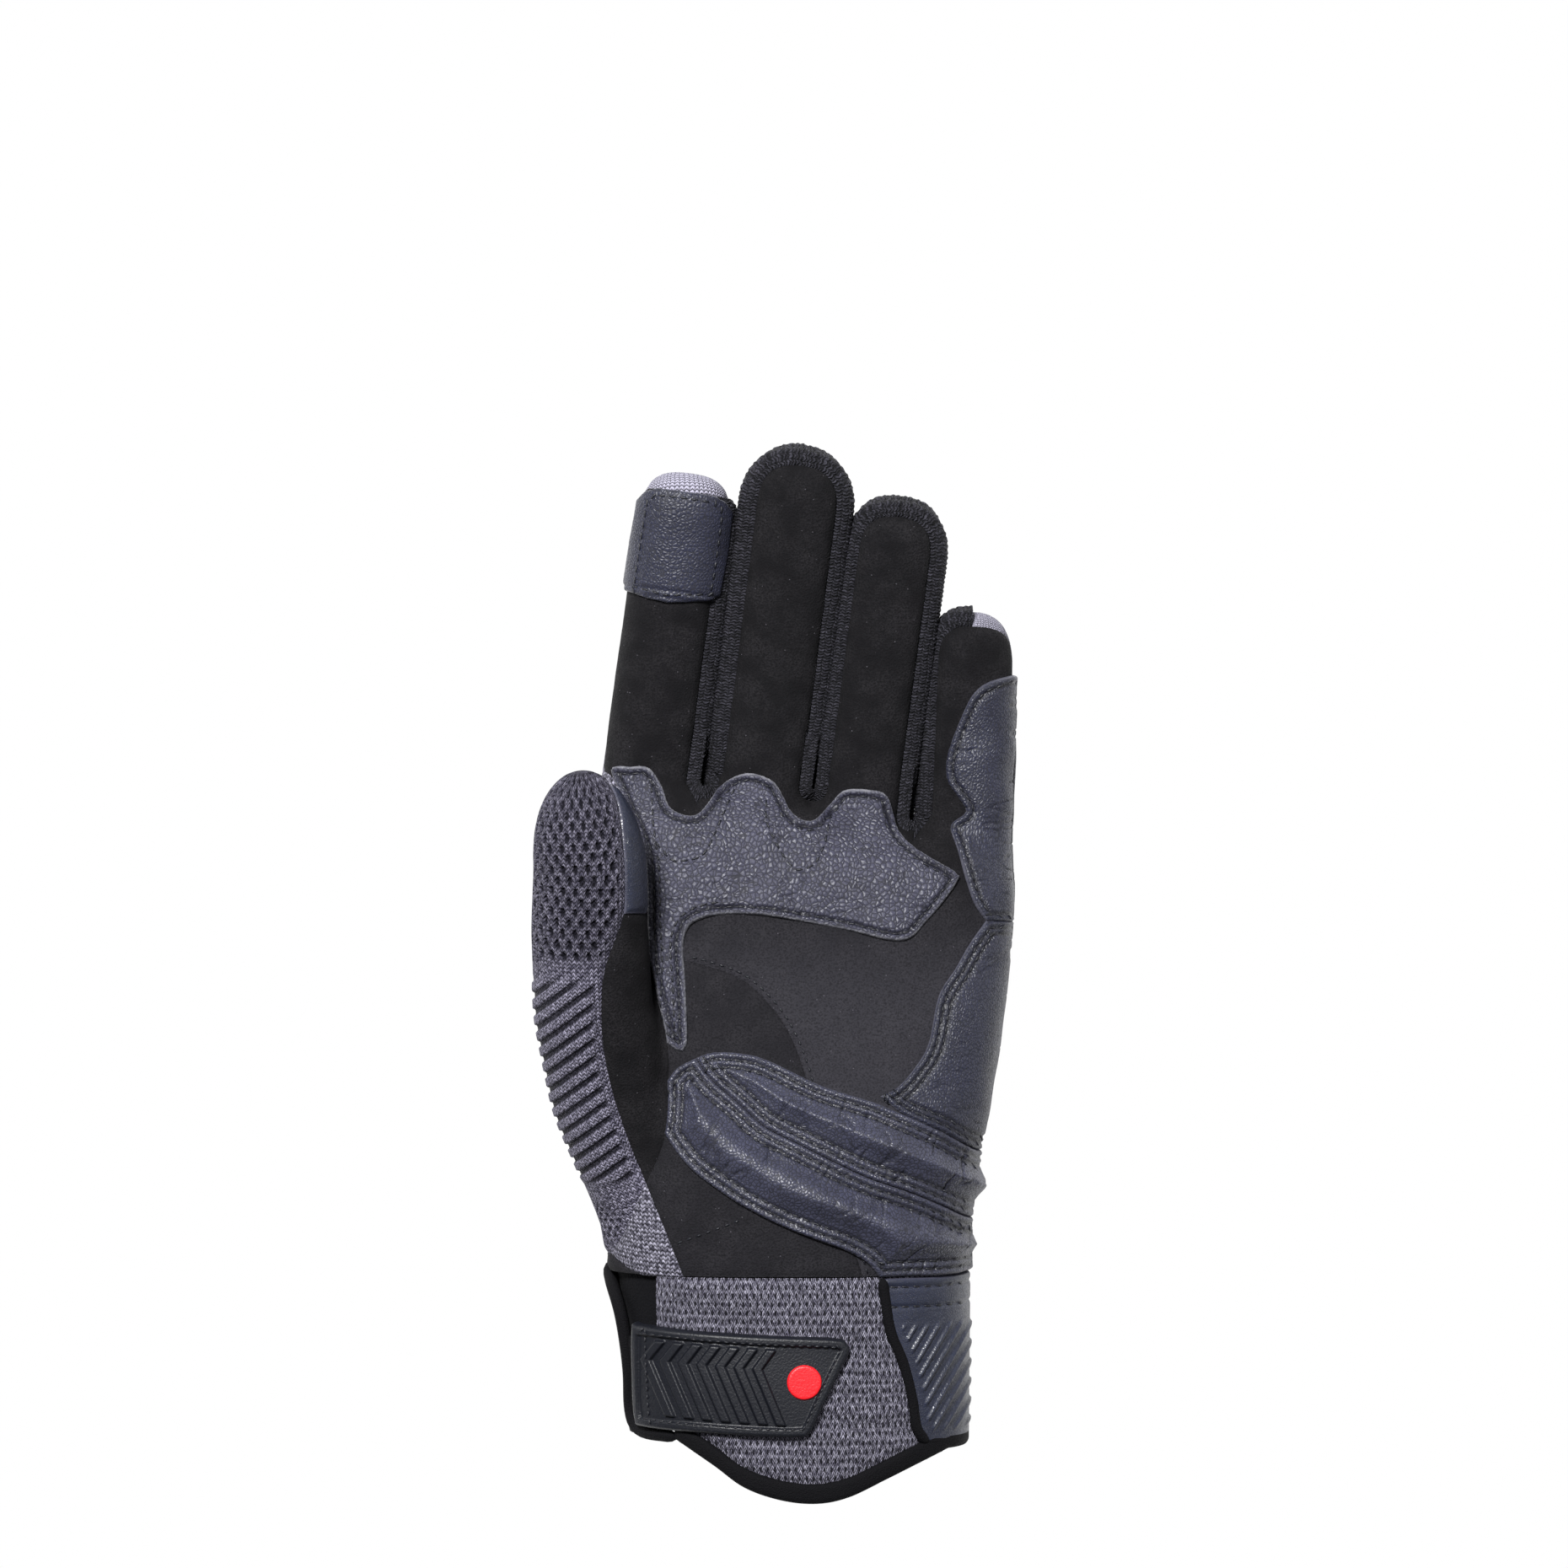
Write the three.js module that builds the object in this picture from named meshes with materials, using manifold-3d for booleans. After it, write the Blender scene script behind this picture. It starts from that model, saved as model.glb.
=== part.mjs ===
// A short-cuff motorcycle glove for the left hand, lying on its back with the palm up.
// Millimetres. X runs from the thumb side to the little-finger side, Y from the cuff to the
// fingertips, and Z up out of the palm. The glove is drawn about the middle of its wrist seam,
// and the last lines move it so that the origin is the middle of the surface that it lies on.
import * as THREE from "three";
import { mergeVertices } from "three/addons/utils/BufferGeometryUtils.js";
import Module from "manifold-3d";

const wasm = await Module();
wasm.setup();

// Sizes of the hand
const palmWidth = 98.6;
const palmLength = 108.5;
const palmThickness = 43;
const cuffLength = 37.5;
const hemDrop = 14.5;
const fingerLift = 12; // how far the longest fingertip curls up from the table
const thumbLength = 112;
const thumbWidth = 27;
const thumbThickness = 25;

// Thicknesses and clearances
const wall = 2;
const leather = 1.2;
const padding = 3.2;
const strapThickness = 2.2;
const strapRib = 0.8;
const badgeThickness = 0.7;
const knitRib = 0.8;
const pipingHeight = 0.6;
const pipingWidth = 1.6;
const seamGap = 0.3;
const tableSink = 1.5; // how much of a round section the table flattens
const sideStrip = 4.4; // width of the knit that shows on each side of a finger's palm strip
const seamFlare = 1;
const hemBand = 4.6;
const patchLength = 26; // leather on the tip of the index finger
const patchCorner = 3;
const pipingInset = 1.6;
const badgeRadius = 4;

// Strap
const strapLength = 49;
const strapWidth = 24;
const chevronCount = 7;
const thumbRibCount = 7;
const pipingCount = 5;

// Numbers of facets and the room that a cutting prism takes beyond the glove
const handSides = 22;
const fingerSides = 12;
const thumbSides = 12;
const beyond = 60;

// Sections of the palm and cuff tube. `along` is a share of the palm length above the wrist seam
// and of the cuff length below it, `left` and `right` are shares of the palm width, `high` and
// `dish` are shares of the palm thickness, and `slant` tips the row towards the little finger.
const handRows = [
  { along: -1.42, left: -0.408, right: 0.383, high: 1.0, dish: 0, slant: 0, square: 2.3 },
  { along: -0.7, left: -0.418, right: 0.385, high: 1.0, dish: 0, slant: 0, square: 2.3 },
  { along: 0, left: -0.462, right: 0.388, high: 0.99, dish: 0, slant: 0, square: 2.4 },
  { along: 0.12, left: -0.488, right: 0.388, high: 1.01, dish: 0, slant: 0, square: 2.5 },
  { along: 0.24, left: -0.496, right: 0.404, high: 1.02, dish: 0.03, slant: 0, square: 2.6 },
  { along: 0.38, left: -0.496, right: 0.438, high: 0.98, dish: 0.07, slant: 0, square: 2.7 },
  { along: 0.54, left: -0.496, right: 0.466, high: 0.9, dish: 0.09, slant: 0.04, square: 2.8 },
  { along: 0.7, left: -0.498, right: 0.48, high: 0.8, dish: 0.06, slant: 0.09, square: 2.9 },
  { along: 0.85, left: -0.498, right: 0.494, high: 0.7, dish: 0.02, slant: 0.14, square: 3.2 },
  { along: 0.95, left: -0.49, right: 0.5, high: 0.61, dish: 0, slant: 0.17, square: 3.4 },
  { along: 1.0, left: -0.47, right: 0.48, high: 0.5, dish: 0, slant: 0.18, square: 3.0 },
];

// Fingers. `side` and `along` place the crotch end of the finger as shares of the palm width and
// length, `lean` is its slope towards the little finger, and `blunt` is the exponent of its tip.
const fingers = {
  index: { side: -0.37, along: 1.027, lean: 0.133, taper: 0.95, blunt: 3.0 },
  middle: { side: -0.102, along: 1.027, lean: 0.127, taper: 0.99, blunt: 2.3 },
  ring: { side: 0.14, along: 1.009, lean: 0.131, taper: 0.97, blunt: 2.5 },
  little: { side: 0.386, along: 0.945, lean: 0.038, taper: 0.93, blunt: 2.5 },
};
Object.assign(fingers.index, { length: 75.9, width: 24.9, thickness: 22.5 });
Object.assign(fingers.middle, { length: 82.1, width: 26.2, thickness: 23 });
Object.assign(fingers.ring, { length: 72.2, width: 24.4, thickness: 22.5 });
Object.assign(fingers.little, { length: 53.3, width: 23, thickness: 21 });
const fingerRoot = 26; // how deep a finger's tube starts inside the palm
const rootScale = 0.7; // its size there
const tipReach = 0.62; // length of a rounded fingertip as a share of its width
const fingerSteps = [0.15, 0.5, 0.8];
const tipSteps = [0, 0.45, 0.75, 0.92];

// Thumb. Its middle line as shares of the thumb length from its root, and its width.
const thumbRoot = { side: -0.295, along: 0.055, high: 0.465 };
const thumbRows = [
  { along: 0, side: 0, up: 0, wide: 1.16 },
  { along: 0.14, side: -0.056, up: 0.027, wide: 1.12 },
  { along: 0.316, side: -0.137, up: 0.08, wide: 1.06 },
  { along: 0.492, side: -0.174, up: 0.143, wide: 1.02 },
  { along: 0.668, side: -0.181, up: 0.196, wide: 1.0 },
  { along: 0.8, side: -0.179, up: 0.23, wide: 0.96 },
  { along: 1.0, side: -0.2, up: 0.263, wide: 0.92 },
];
const thumbTipReach = 0.85;
const thumbBlunt = 2.1;

// Small tools
const lerp = THREE.MathUtils.lerp;
const signedPower = (x, p) => Math.sign(x) * Math.abs(x) ** p;

// A closed three.js geometry as a solid that can be joined and cut.
function solidOf(geometry) {
  const bare = geometry.index ? geometry.toNonIndexed() : geometry.clone();
  for (const name of Object.keys(bare.attributes)) {
    if (name !== "position") bare.deleteAttribute(name);
  }
  const merged = mergeVertices(bare, 1e-4);
  return new wasm.Manifold(
    new wasm.Mesh({
      numProp: 3,
      vertProperties: new Float32Array(merged.attributes.position.array),
      triVerts: new Uint32Array(merged.index.array),
    }),
  );
}

// A solid as a three.js geometry, without the crumbs that a cut can leave beside its main body.
function geometryOf(solid) {
  const bodies = solid.decompose().sort((a, b) => b.volume() - a.volume());
  const mesh = bodies[0].getMesh();
  const positions = new Float32Array(mesh.numVert * 3);
  for (let i = 0; i < mesh.numVert; i++) {
    positions.set(mesh.vertProperties.subarray(i * mesh.numProp, i * mesh.numProp + 3), i * 3);
  }
  const geometry = new THREE.BufferGeometry();
  geometry.setAttribute("position", new THREE.BufferAttribute(positions, 3));
  geometry.setIndex(new THREE.BufferAttribute(new Uint32Array(mesh.triVerts), 1));
  return geometry;
}

// A tube through rings of points, closed by a fan at each end.
function loft(rings) {
  const sides = rings[0].length;
  const positions = rings.flat().flatMap((p) => [p.x, p.y, p.z]);
  const index = [];
  rings.slice(1).forEach((_, r) => {
    for (let i = 0; i < sides; i++) {
      const a = r * sides + i;
      const b = r * sides + ((i + 1) % sides);
      index.push(a, b, b + sides, a, b + sides, a + sides);
    }
  });
  [rings[0], rings[rings.length - 1]].forEach((ring, end) => {
    const centre = ring.reduce((sum, p) => sum.add(p), new THREE.Vector3()).divideScalar(sides);
    const middle = positions.length / 3;
    const first = end ? (rings.length - 1) * sides : 0;
    positions.push(centre.x, centre.y, centre.z);
    for (let i = 0; i < sides; i++) {
      const a = first + i;
      const b = first + ((i + 1) % sides);
      index.push(...(end ? [a, b, middle] : [b, a, middle]));
    }
  });
  const geometry = new THREE.BufferGeometry();
  geometry.setAttribute("position", new THREE.Float32BufferAttribute(positions, 3));
  geometry.setIndex(index);
  return solidOf(geometry);
}

// One ring of a tube: a squared-off ellipse about a centre, with its lower side on the table.
function ring({ centre, across, halfWidth, halfHeight, square, sides, dish = 0, floor }) {
  return Array.from({ length: sides }, (_, i) => {
    const angle = (-2 * Math.PI * i) / sides;
    const u = signedPower(Math.cos(angle), 2 / square);
    const w = signedPower(Math.sin(angle), 2 / square);
    const hollow = w > 0 ? dish * (1 - u * u) * w : 0;
    const point = centre.clone().addScaledVector(across, u * halfWidth);
    point.z = Math.max(floor, point.z + w * halfHeight - hollow);
    return point;
  });
}

const alongY = (share) => share * (share < 0 ? cuffLength : palmLength);
const palmPoint = (side, along) => [side * palmWidth, alongY(along)];
const floorOf = (offset) => Math.max(0, -offset);

// The palm and cuff tube, grown outwards by an offset. The cavity runs out through the cuff.
function palmBody(offset) {
  const rings = handRows.map((row, i) => {
    const high = row.high * palmThickness;
    const halfWidth = ((row.right - row.left) * palmWidth) / 2 + offset;
    const isLast = i === handRows.length - 1;
    const y = alongY(row.along) + (isLast ? offset : 0) - (i === 0 && offset < 0 ? beyond : 0);
    const points = ring({
      centre: new THREE.Vector3(((row.right + row.left) * palmWidth) / 2, y, (high - tableSink) / 2),
      across: new THREE.Vector3(1, 0, 0),
      halfWidth,
      halfHeight: (high + tableSink) / 2 + offset,
      square: row.square,
      sides: handSides,
      dish: row.dish * palmThickness,
      floor: floorOf(offset),
    });
    points.forEach((p) => (p.y -= row.slant * p.x));
    return points;
  });
  return loft(rings);
}

// How high the middle of a finger lies above the table.
const longest = Math.max(...Object.values(fingers).map((f) => f.length));
const knuckleY = Math.min(...Object.values(fingers).map((f) => f.along)) * palmLength;
function fingerAxisZ(y, thickness) {
  const reach = THREE.MathUtils.clamp((y - knuckleY) / longest, 0, 1.2);
  return (thickness - tableSink) / 2 + fingerLift * reach ** 2;
}

// A point on a finger's own axes: `across` from its middle line and `ahead` of its crotch.
function onFinger(finger, across, ahead) {
  const length = Math.hypot(1, finger.lean);
  const [x, y] = palmPoint(finger.side, finger.along);
  return [
    x + (finger.lean * ahead + across) / length,
    y + (ahead - finger.lean * across) / length,
  ];
}

// How wide a round-ended tube is at a step of its tip, from 0 at full width to 1 at the end.
const tipScale = (step, power) => Math.max(0.02, (1 - step ** power) ** (1 / power));

function fingerBody(finger, offset) {
  const reach = finger.length + offset;
  const tipLength = tipReach * finger.width + offset;
  const stations = [
    { ahead: -fingerRoot, scale: rootScale },
    ...fingerSteps.map((s) => ({ ahead: lerp(-fingerRoot / 2, reach - tipLength, s), scale: 1 })),
    ...tipSteps.map((s) => ({ ahead: reach - tipLength * (1 - s), scale: tipScale(s, finger.blunt) })),
    { ahead: reach, scale: 0.2 },
  ];
  const across = new THREE.Vector3(1, -finger.lean, 0).normalize();
  const rings = stations.map(({ ahead, scale }) => {
    const taper = lerp(1, finger.taper, THREE.MathUtils.clamp(ahead / finger.length, 0, 1));
    const [x, y] = onFinger(finger, 0, ahead);
    return ring({
      centre: new THREE.Vector3(x, y, fingerAxisZ(y, finger.thickness)),
      across,
      halfWidth: ((finger.width * taper) / 2 + offset) * scale,
      halfHeight: ((finger.thickness * taper) / 2 + offset) * scale,
      square: 2.4,
      sides: fingerSides,
      floor: floorOf(offset),
    });
  });
  return loft(rings);
}

function thumbBody(offset) {
  const [rootX, rootY] = palmPoint(thumbRoot.side, thumbRoot.along);
  const line = new THREE.CatmullRomCurve3(
    thumbRows.map(
      (r) =>
        new THREE.Vector3(
          rootX + r.side * thumbLength,
          rootY + r.along * thumbLength,
          thumbRoot.high * palmThickness + r.up * thumbLength,
        ),
    ),
    false,
    "centripetal",
  );
  const tipShare = (thumbTipReach * thumbWidth) / line.getLength();
  const shaft = [0, 0.2, 0.4, 0.6, 0.8].map((s) => ({ t: s * (1 - tipShare), scale: 1 }));
  const tip = [0, 0.4, 0.72, 0.92].map((s) => ({
    t: 1 - tipShare * (1 - s),
    scale: tipScale(s, thumbBlunt),
  }));
  const stations = [...shaft, ...tip, { t: 1, scale: 0.2 }];
  const rings = stations.map(({ t, scale }) => {
    const centre = line.getPointAt(t);
    const ahead = line.getTangentAt(t);
    const across = new THREE.Vector3(ahead.y, -ahead.x, 0).normalize();
    const row = t * (thumbRows.length - 1);
    const below = Math.min(Math.floor(row), thumbRows.length - 2);
    const wide = lerp(thumbRows[below].wide, thumbRows[below + 1].wide, row - below);
    centre.addScaledVector(ahead, t > 0.5 ? (offset * (t - 0.5)) / 0.5 : 0);
    return ring({
      centre,
      across,
      halfWidth: ((thumbWidth * wide) / 2 + offset) * scale,
      halfHeight: ((thumbThickness * wide) / 2 + offset) * scale,
      square: 2.2,
      sides: thumbSides,
      floor: floorOf(offset),
    });
  });
  return loft(rings);
}

const join = (solids) => solids.reduce((all, one) => all.add(one));
const handBody = (offset) =>
  join([palmBody(offset), ...Object.values(fingers).map((f) => fingerBody(f, offset))]);
const wholeBody = (offset) => handBody(offset).add(thumbBody(offset));

// A skin that lies between two offsets of the hand, clear of the thumb.
const thumbClear = thumbBody(seamGap);
const handLayer = (inner, outer) => handBody(outer).subtract(handBody(inner)).subtract(thumbClear);

// Outlines seen from above are lists of [side, along]: a share of the palm width from the middle
// line, and a share of the palm length above the wrist seam or of the cuff length below it.

// An outline moved outwards by a distance.
function grown(outline, distance) {
  const turn = THREE.ShapeUtils.area(outline.map(([x, y]) => new THREE.Vector2(x, y))) < 0 ? -1 : 1;
  return outline.map((point, i) => {
    const before = outline[(i + outline.length - 1) % outline.length];
    const after = outline[(i + 1) % outline.length];
    const one = new THREE.Vector2(point[1] - before[1], before[0] - point[0]).normalize();
    const two = new THREE.Vector2(after[1] - point[1], point[0] - after[0]).normalize();
    const out = one.clone().add(two);
    const reach = (turn * distance * 2) / Math.max(out.lengthSq(), 0.5);
    return [point[0] + out.x * reach, point[1] + out.y * reach];
  });
}

// A smooth closed outline through a few points.
function smooth(points, perSpan = 3) {
  const curve = new THREE.CatmullRomCurve3(
    points.map(([x, y]) => new THREE.Vector3(x, y, 0)),
    true,
    "centripetal",
  );
  return curve.getPoints(points.length * perSpan).slice(0, -1).map((p) => [p.x, p.y]);
}

// A prism that stands on the table with an outline seen from above.
function prism(outline, low = -beyond, high = 2 * beyond) {
  const shape = new THREE.Shape(outline.map(([x, y]) => new THREE.Vector2(x, y)));
  const geometry = new THREE.ExtrudeGeometry(shape, { depth: high - low, bevelEnabled: false });
  return solidOf(geometry.translate(0, 0, low));
}

const fromShares = (rows) => rows.map(([side, along]) => palmPoint(side, along));

// The seam that runs round the side of the hand between its back and its palm.
const seamRows = [
  { along: -3, high: 0.44 },
  { along: 0, high: 0.44 },
  { along: 0.4, high: 0.4 },
  { along: 0.7, high: 0.33 },
  { along: 0.95, high: 0.25 },
];
function seamLine() {
  const palm = seamRows.map((r) => [alongY(r.along), r.high * palmThickness]);
  const [lastY, lastZ] = palm[palm.length - 1];
  const start = fingerAxisZ(lastY, 0);
  const ahead = [0.25, 0.5, 0.75, 1, 1.3].map((share) => {
    const y = lastY + share * longest;
    return [y, lastZ + fingerAxisZ(y, 0) - start];
  });
  return [...palm, ...ahead];
}
function besideSeam(isAbove, gap) {
  const line = seamLine().map(([y, z]) => [y, z + (isAbove ? gap : -gap)]);
  const far = (isAbove ? 3 : -1) * beyond;
  const shape = new THREE.Shape([
    ...line.map(([y, z]) => new THREE.Vector2(y, z)),
    new THREE.Vector2(line[line.length - 1][0], far),
    new THREE.Vector2(line[0][0], far),
  ]);
  const width = 2 * palmWidth;
  const geometry = new THREE.ExtrudeGeometry(shape, { depth: width, bevelEnabled: false });
  const axes = new THREE.Matrix4().makeBasis(
    new THREE.Vector3(0, 1, 0),
    new THREE.Vector3(0, 0, 1),
    new THREE.Vector3(1, 0, 0),
  );
  return solidOf(geometry.applyMatrix4(axes).translate(-width / 2, 0, 0));
}
const palmSide = besideSeam(true, seamGap / 2);
const backSide = besideSeam(false, seamGap / 2);

// Half of the front strip of a finger, as [share of the strip's half width, share of its rounded
// end's length] from where the rounding starts to the tip.
const roundTip = [
  [1, 0],
  [0.86, 0.58],
  [0.5, 0.92],
  [0, 1],
];
const squareTip = [
  [1, 1],
  [0, 1],
];

// The palm strip of a finger: its sides stand in from the finger's own sides by the width of the
// knit that shows, and flare at the crotch to meet the next strip. The outer side of the index
// and little fingers has no knit, so there the strip runs past the side.
function fingerStrip(finger, outerSide = 0) {
  const half = finger.width / 2;
  const inner = half - sideStrip;
  const end = finger.length - sideStrip;
  const tip = finger.blunt >= 3 ? squareTip : roundTip;
  const past = half + beyond / 3;
  const sideOf = (sign) => {
    const isOuter = sign === outerSide;
    const rows = isOuter ? squareTip : tip;
    const reach = isOuter ? past : inner;
    const crotch = isOuter ? past : half + seamFlare;
    const points = rows.map(([u, v]) => [sign * u * reach, end - inner * (1 - v)]);
    const root = [
      [half, -fingerRoot],
      [crotch, -sideStrip * 0.6],
      [reach, sideStrip],
    ];
    return [...root.map(([across, ahead]) => [sign * across, ahead]), ...points];
  };
  const left = sideOf(-1);
  const right = sideOf(1).reverse().slice(1);
  return [...left, ...right].map(([across, ahead]) => onFinger(finger, across, ahead));
}
const strips = [
  fingerStrip(fingers.index, -1),
  fingerStrip(fingers.middle),
  fingerStrip(fingers.ring),
  fingerStrip(fingers.little, 1),
];

// Where the palm panel ends against the thumb panel: a crescent seam across the palm.
const crescent = [
  [-0.27, 0.671],
  [-0.21, 0.656],
  [-0.145, 0.633],
  [-0.088, 0.589],
  [-0.039, 0.529],
  [0.002, 0.44],
  [0.06, 0.25],
  [0.14, 0.002],
];
const farSide = 0.75;
const palmOutline = fromShares([
  [0.14, 0.002],
  [farSide, 0.002],
  [farSide, 0.93],
  [0.52, 0.915],
  [-0.52, 0.985],
  [-farSide, 1.0],
  [-farSide, 0.671],
  ...crescent.slice(0, -1),
]);
// The line where the knit of the thumb and hand side meets the suede.
const knitEdge = [
  [-0.504, 1.09],
  [-0.462, 1.071],
  [-0.438, 1.042],
  [-0.422, 0.998],
  [-0.414, 0.931],
  [-0.41, 0.849],
  [-0.414, 0.775],
  [-0.431, 0.73],
  [-0.456, 0.671],
  [-0.468, 0.611],
  [-0.468, 0.515],
  [-0.451, 0.415],
  [-0.414, 0.304],
  [-0.374, 0.207],
  [-0.333, 0.118],
  [-0.3, 0.044],
  [-0.28, -0.01],
];
const knitOutline = fromShares([
  ...knitEdge,
  [-0.36, -0.02],
  [-0.42, 0.015],
  [-0.46, 0.04],
  [-0.484, 0.03],
  [-farSide, 0.02],
  [-farSide, 1.12],
]);
const thumbPanelOutline = fromShares([
  ...crescent.slice().reverse(),
  [-farSide, 0.671],
  [-farSide, 0.002],
]);

// The base shell
const cavity = wholeBody(-wall);
const handShell = handBody(0).subtract(cavity).subtract(thumbClear);
const thumbShell = thumbBody(0).subtract(cavity);
const palmHalf = handShell.intersect(palmSide);
// A slab across the whole glove between two values of Y.
const across = (low, high) =>
  prism([
    [-2 * beyond, low],
    [2 * beyond, low],
    [2 * beyond, high],
    [-2 * beyond, high],
  ]);
const aboveWrist = across(0, 6 * beyond);

// The hem: how far the cuff reaches below the wrist seam, seen from the palm.
const hemRows = [
  [-0.3, -1.0],
  [-0.21, -1.16],
  [-0.136, -1.3],
  [-0.048, -1.38],
  [0.034, -1.4],
  [0.108, -1.36],
  [0.197, -1.25],
  [0.27, -1.16],
  [0.34, -1.08],
];
const hemShape = (side, along, raise) => [
  side * palmWidth,
  -cuffLength - ((-along - 1) / 0.4) * hemDrop + raise,
];
// The front of the cuff from its slit round to the outer side, down to a line above the hem.
const slitSide = -0.344;
function cuffFrontOutline(raise, top, bottom) {
  const hem = hemRows.map(([side, along]) => hemShape(side, along, raise));
  return [
    [slitSide * palmWidth, top],
    [slitSide * palmWidth, hem[0][1]],
    ...hem,
    [farSide * palmWidth, hem[hem.length - 1][1]],
    [farSide * palmWidth, bottom ?? top],
  ];
}
const cuffFrontCut = cuffFrontOutline(hemBand, -seamGap);
function hemOutline() {
  const lower = hemRows.map(([side, along]) => hemShape(side, along, 0));
  const upper = hemRows.map(([side, along]) => hemShape(side, along, hemBand - seamGap));
  return [
    ...lower,
    [farSide * palmWidth, lower[lower.length - 1][1]],
    [farSide * palmWidth, upper[upper.length - 1][1]],
    ...upper.reverse(),
  ];
}
// The edge of the cuff's back where it folds round to the palm side, beside the slit.
const foldRows = [
  [-0.484, 0.02],
  [-0.462, -0.06],
  [-0.444, -0.2],
  [-0.43, -0.4],
  [-0.4, -0.42],
  [-0.385, -0.9],
  [-0.36, -1.01],
];
const foldOutline = fromShares([...foldRows, [-farSide, -1.01], [-farSide, 0.02]]);
const cuffSlab = across(-cuffLength, -seamGap);

// The block over the tip of a finger, where the knit of the back comes round to the front,
// between two shares of the finger's half width.
function fingerTip(finger, from, to, gap) {
  const start = finger.length - sideStrip + gap;
  const half = finger.width / 2;
  const corners = [
    [from * half, start],
    [to * half, start],
    [to * half, start + beyond / 3],
    [from * half, start + beyond / 3],
  ];
  return prism(corners.map(([side, ahead]) => onFinger(finger, side, ahead)));
}
const indexTip = (gap) => fingerTip(fingers.index, -2, 0.9, gap);
const littleTip = (gap) => fingerTip(fingers.little, 0, 2, gap);

const backPanel = () =>
  handShell
    .intersect(join([backSide, indexTip(seamGap), littleTip(seamGap), prism(knitOutline)]))
    .intersect(aboveWrist);

function palmPanel() {
  const region = join([palmOutline, ...strips].map((outline) => prism(outline)));
  return palmHalf.intersect(region).subtract(prism(grown(knitOutline, seamGap), 0));
}

// The knit between two fingers: a wall on each side of the gap that meets at the crotch.
function sideKnitBetween(left, right) {
  const region = prism([
    onFinger(left, 0, -fingerRoot / 2),
    onFinger(right, -seamGap, -fingerRoot / 2),
    onFinger(right, -seamGap, right.length + sideStrip),
    onFinger(left, 0, left.length + sideStrip),
  ]);
  const suede = join([palmOutline, ...strips].map((outline) => prism(grown(outline, seamGap))));
  return palmHalf.intersect(region).subtract(suede).subtract(indexTip(0));
}

function thumbPanel() {
  return palmHalf
    .intersect(prism(grown(thumbPanelOutline, -seamGap)))
    .subtract(prism(grown(knitOutline, seamGap)))
    .intersect(aboveWrist);
}

// The thumb: knit over its outer side, leather on its pad and suede on the rest.
const thumbPadAlong = 0.778;
function thumbBack() {
  const cut = prism(knitOutline);
  const pitch = (0.43 * palmLength) / thumbRibCount;
  const bars = Array.from({ length: thumbRibCount }, (_, i) => {
    const y = 0.62 * palmLength - i * pitch;
    const [x0, x1] = [-0.7 * palmWidth, -0.2 * palmWidth];
    const slope = 0.72;
    const at = (x, up) => [x, y + slope * (x + 0.48 * palmWidth) + up];
    return prism([at(x0, 0), at(x1, 0), at(x1, pitch * 0.6), at(x0, pitch * 0.6)]);
  });
  const raised = thumbBody(knitRib).subtract(cavity).subtract(handBody(seamGap)).intersect(join(bars));
  return thumbShell.add(raised).intersect(cut);
}
const thumbInner = thumbShell.subtract(prism(grown(knitOutline, seamGap)));
const thumbPadY = thumbPadAlong * palmLength;
const thumbPad = () => thumbInner.intersect(across(thumbPadY, 6 * beyond));
const thumbGusset = () => thumbInner.intersect(across(-beyond, thumbPadY - seamGap));

// Leather on the palm
const reinforcementOutline = smooth(
  fromShares([
    [-0.452, 1.083],
    [-0.41, 1.09],
    [-0.366, 1.087],
    [-0.335, 1.045],
    [-0.312, 0.998],
    [-0.256, 0.984],
    [-0.206, 1.033],
    [-0.168, 1.066],
    [-0.12, 1.076],
    [-0.064, 1.053],
    [-0.031, 0.99],
    [0.018, 0.969],
    [0.06, 0.999],
    [0.098, 1.038],
    [0.157, 1.04],
    [0.2, 1.026],
    [0.222, 0.956],
    [0.28, 0.904],
    [0.361, 0.86],
    [0.362, 0.836],
    [0.296, 0.76],
    [0.23, 0.715],
    [0.084, 0.742],
    [-0.112, 0.771],
    [-0.235, 0.764],
    [-0.28, 0.722],
    [-0.276, 0.611],
    [-0.274, 0.493],
    [-0.308, 0.489],
    [-0.362, 0.552],
    [-0.362, 0.671],
    [-0.367, 0.745],
    [-0.375, 0.9],
    [-0.42, 1.0],
  ]),
  2,
);
const heelSeam = [
  [-0.243, 0.44],
  [-0.145, 0.364],
  [-0.088, 0.319],
  [-0.006, 0.282],
  [0.076, 0.245],
  [0.157, 0.211],
  [0.238, 0.185],
  [0.32, 0.152],
  [0.47, 0.08],
];
const heelTop = [
  [-0.21, 0.478],
  [-0.145, 0.475],
  [-0.08, 0.46],
  [0.034, 0.411],
  [0.132, 0.382],
  [0.182, 0.367],
  [0.238, 0.345],
  [0.32, 0.311],
  [0.442, 0.253],
  [0.6, 0.24],
];
const heelUpperOutline = fromShares([...heelTop.slice().reverse(), ...heelSeam, [0.6, 0.06]]);
const heelLowerOutline = fromShares([
  [-0.26, 0.448],
  [-0.341, 0.378],
  [-0.333, 0.326],
  [-0.308, 0.282],
  [-0.26, 0.23],
  [-0.194, 0.185],
  [-0.129, 0.148],
  [-0.047, 0.111],
  [0.034, 0.082],
  [0.1, 0.059],
  [0.149, 0.033],
  [0.178, 0.008],
  [0.6, 0.008],
  [0.6, 0.03],
  ...heelSeam.slice().reverse(),
]);
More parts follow.
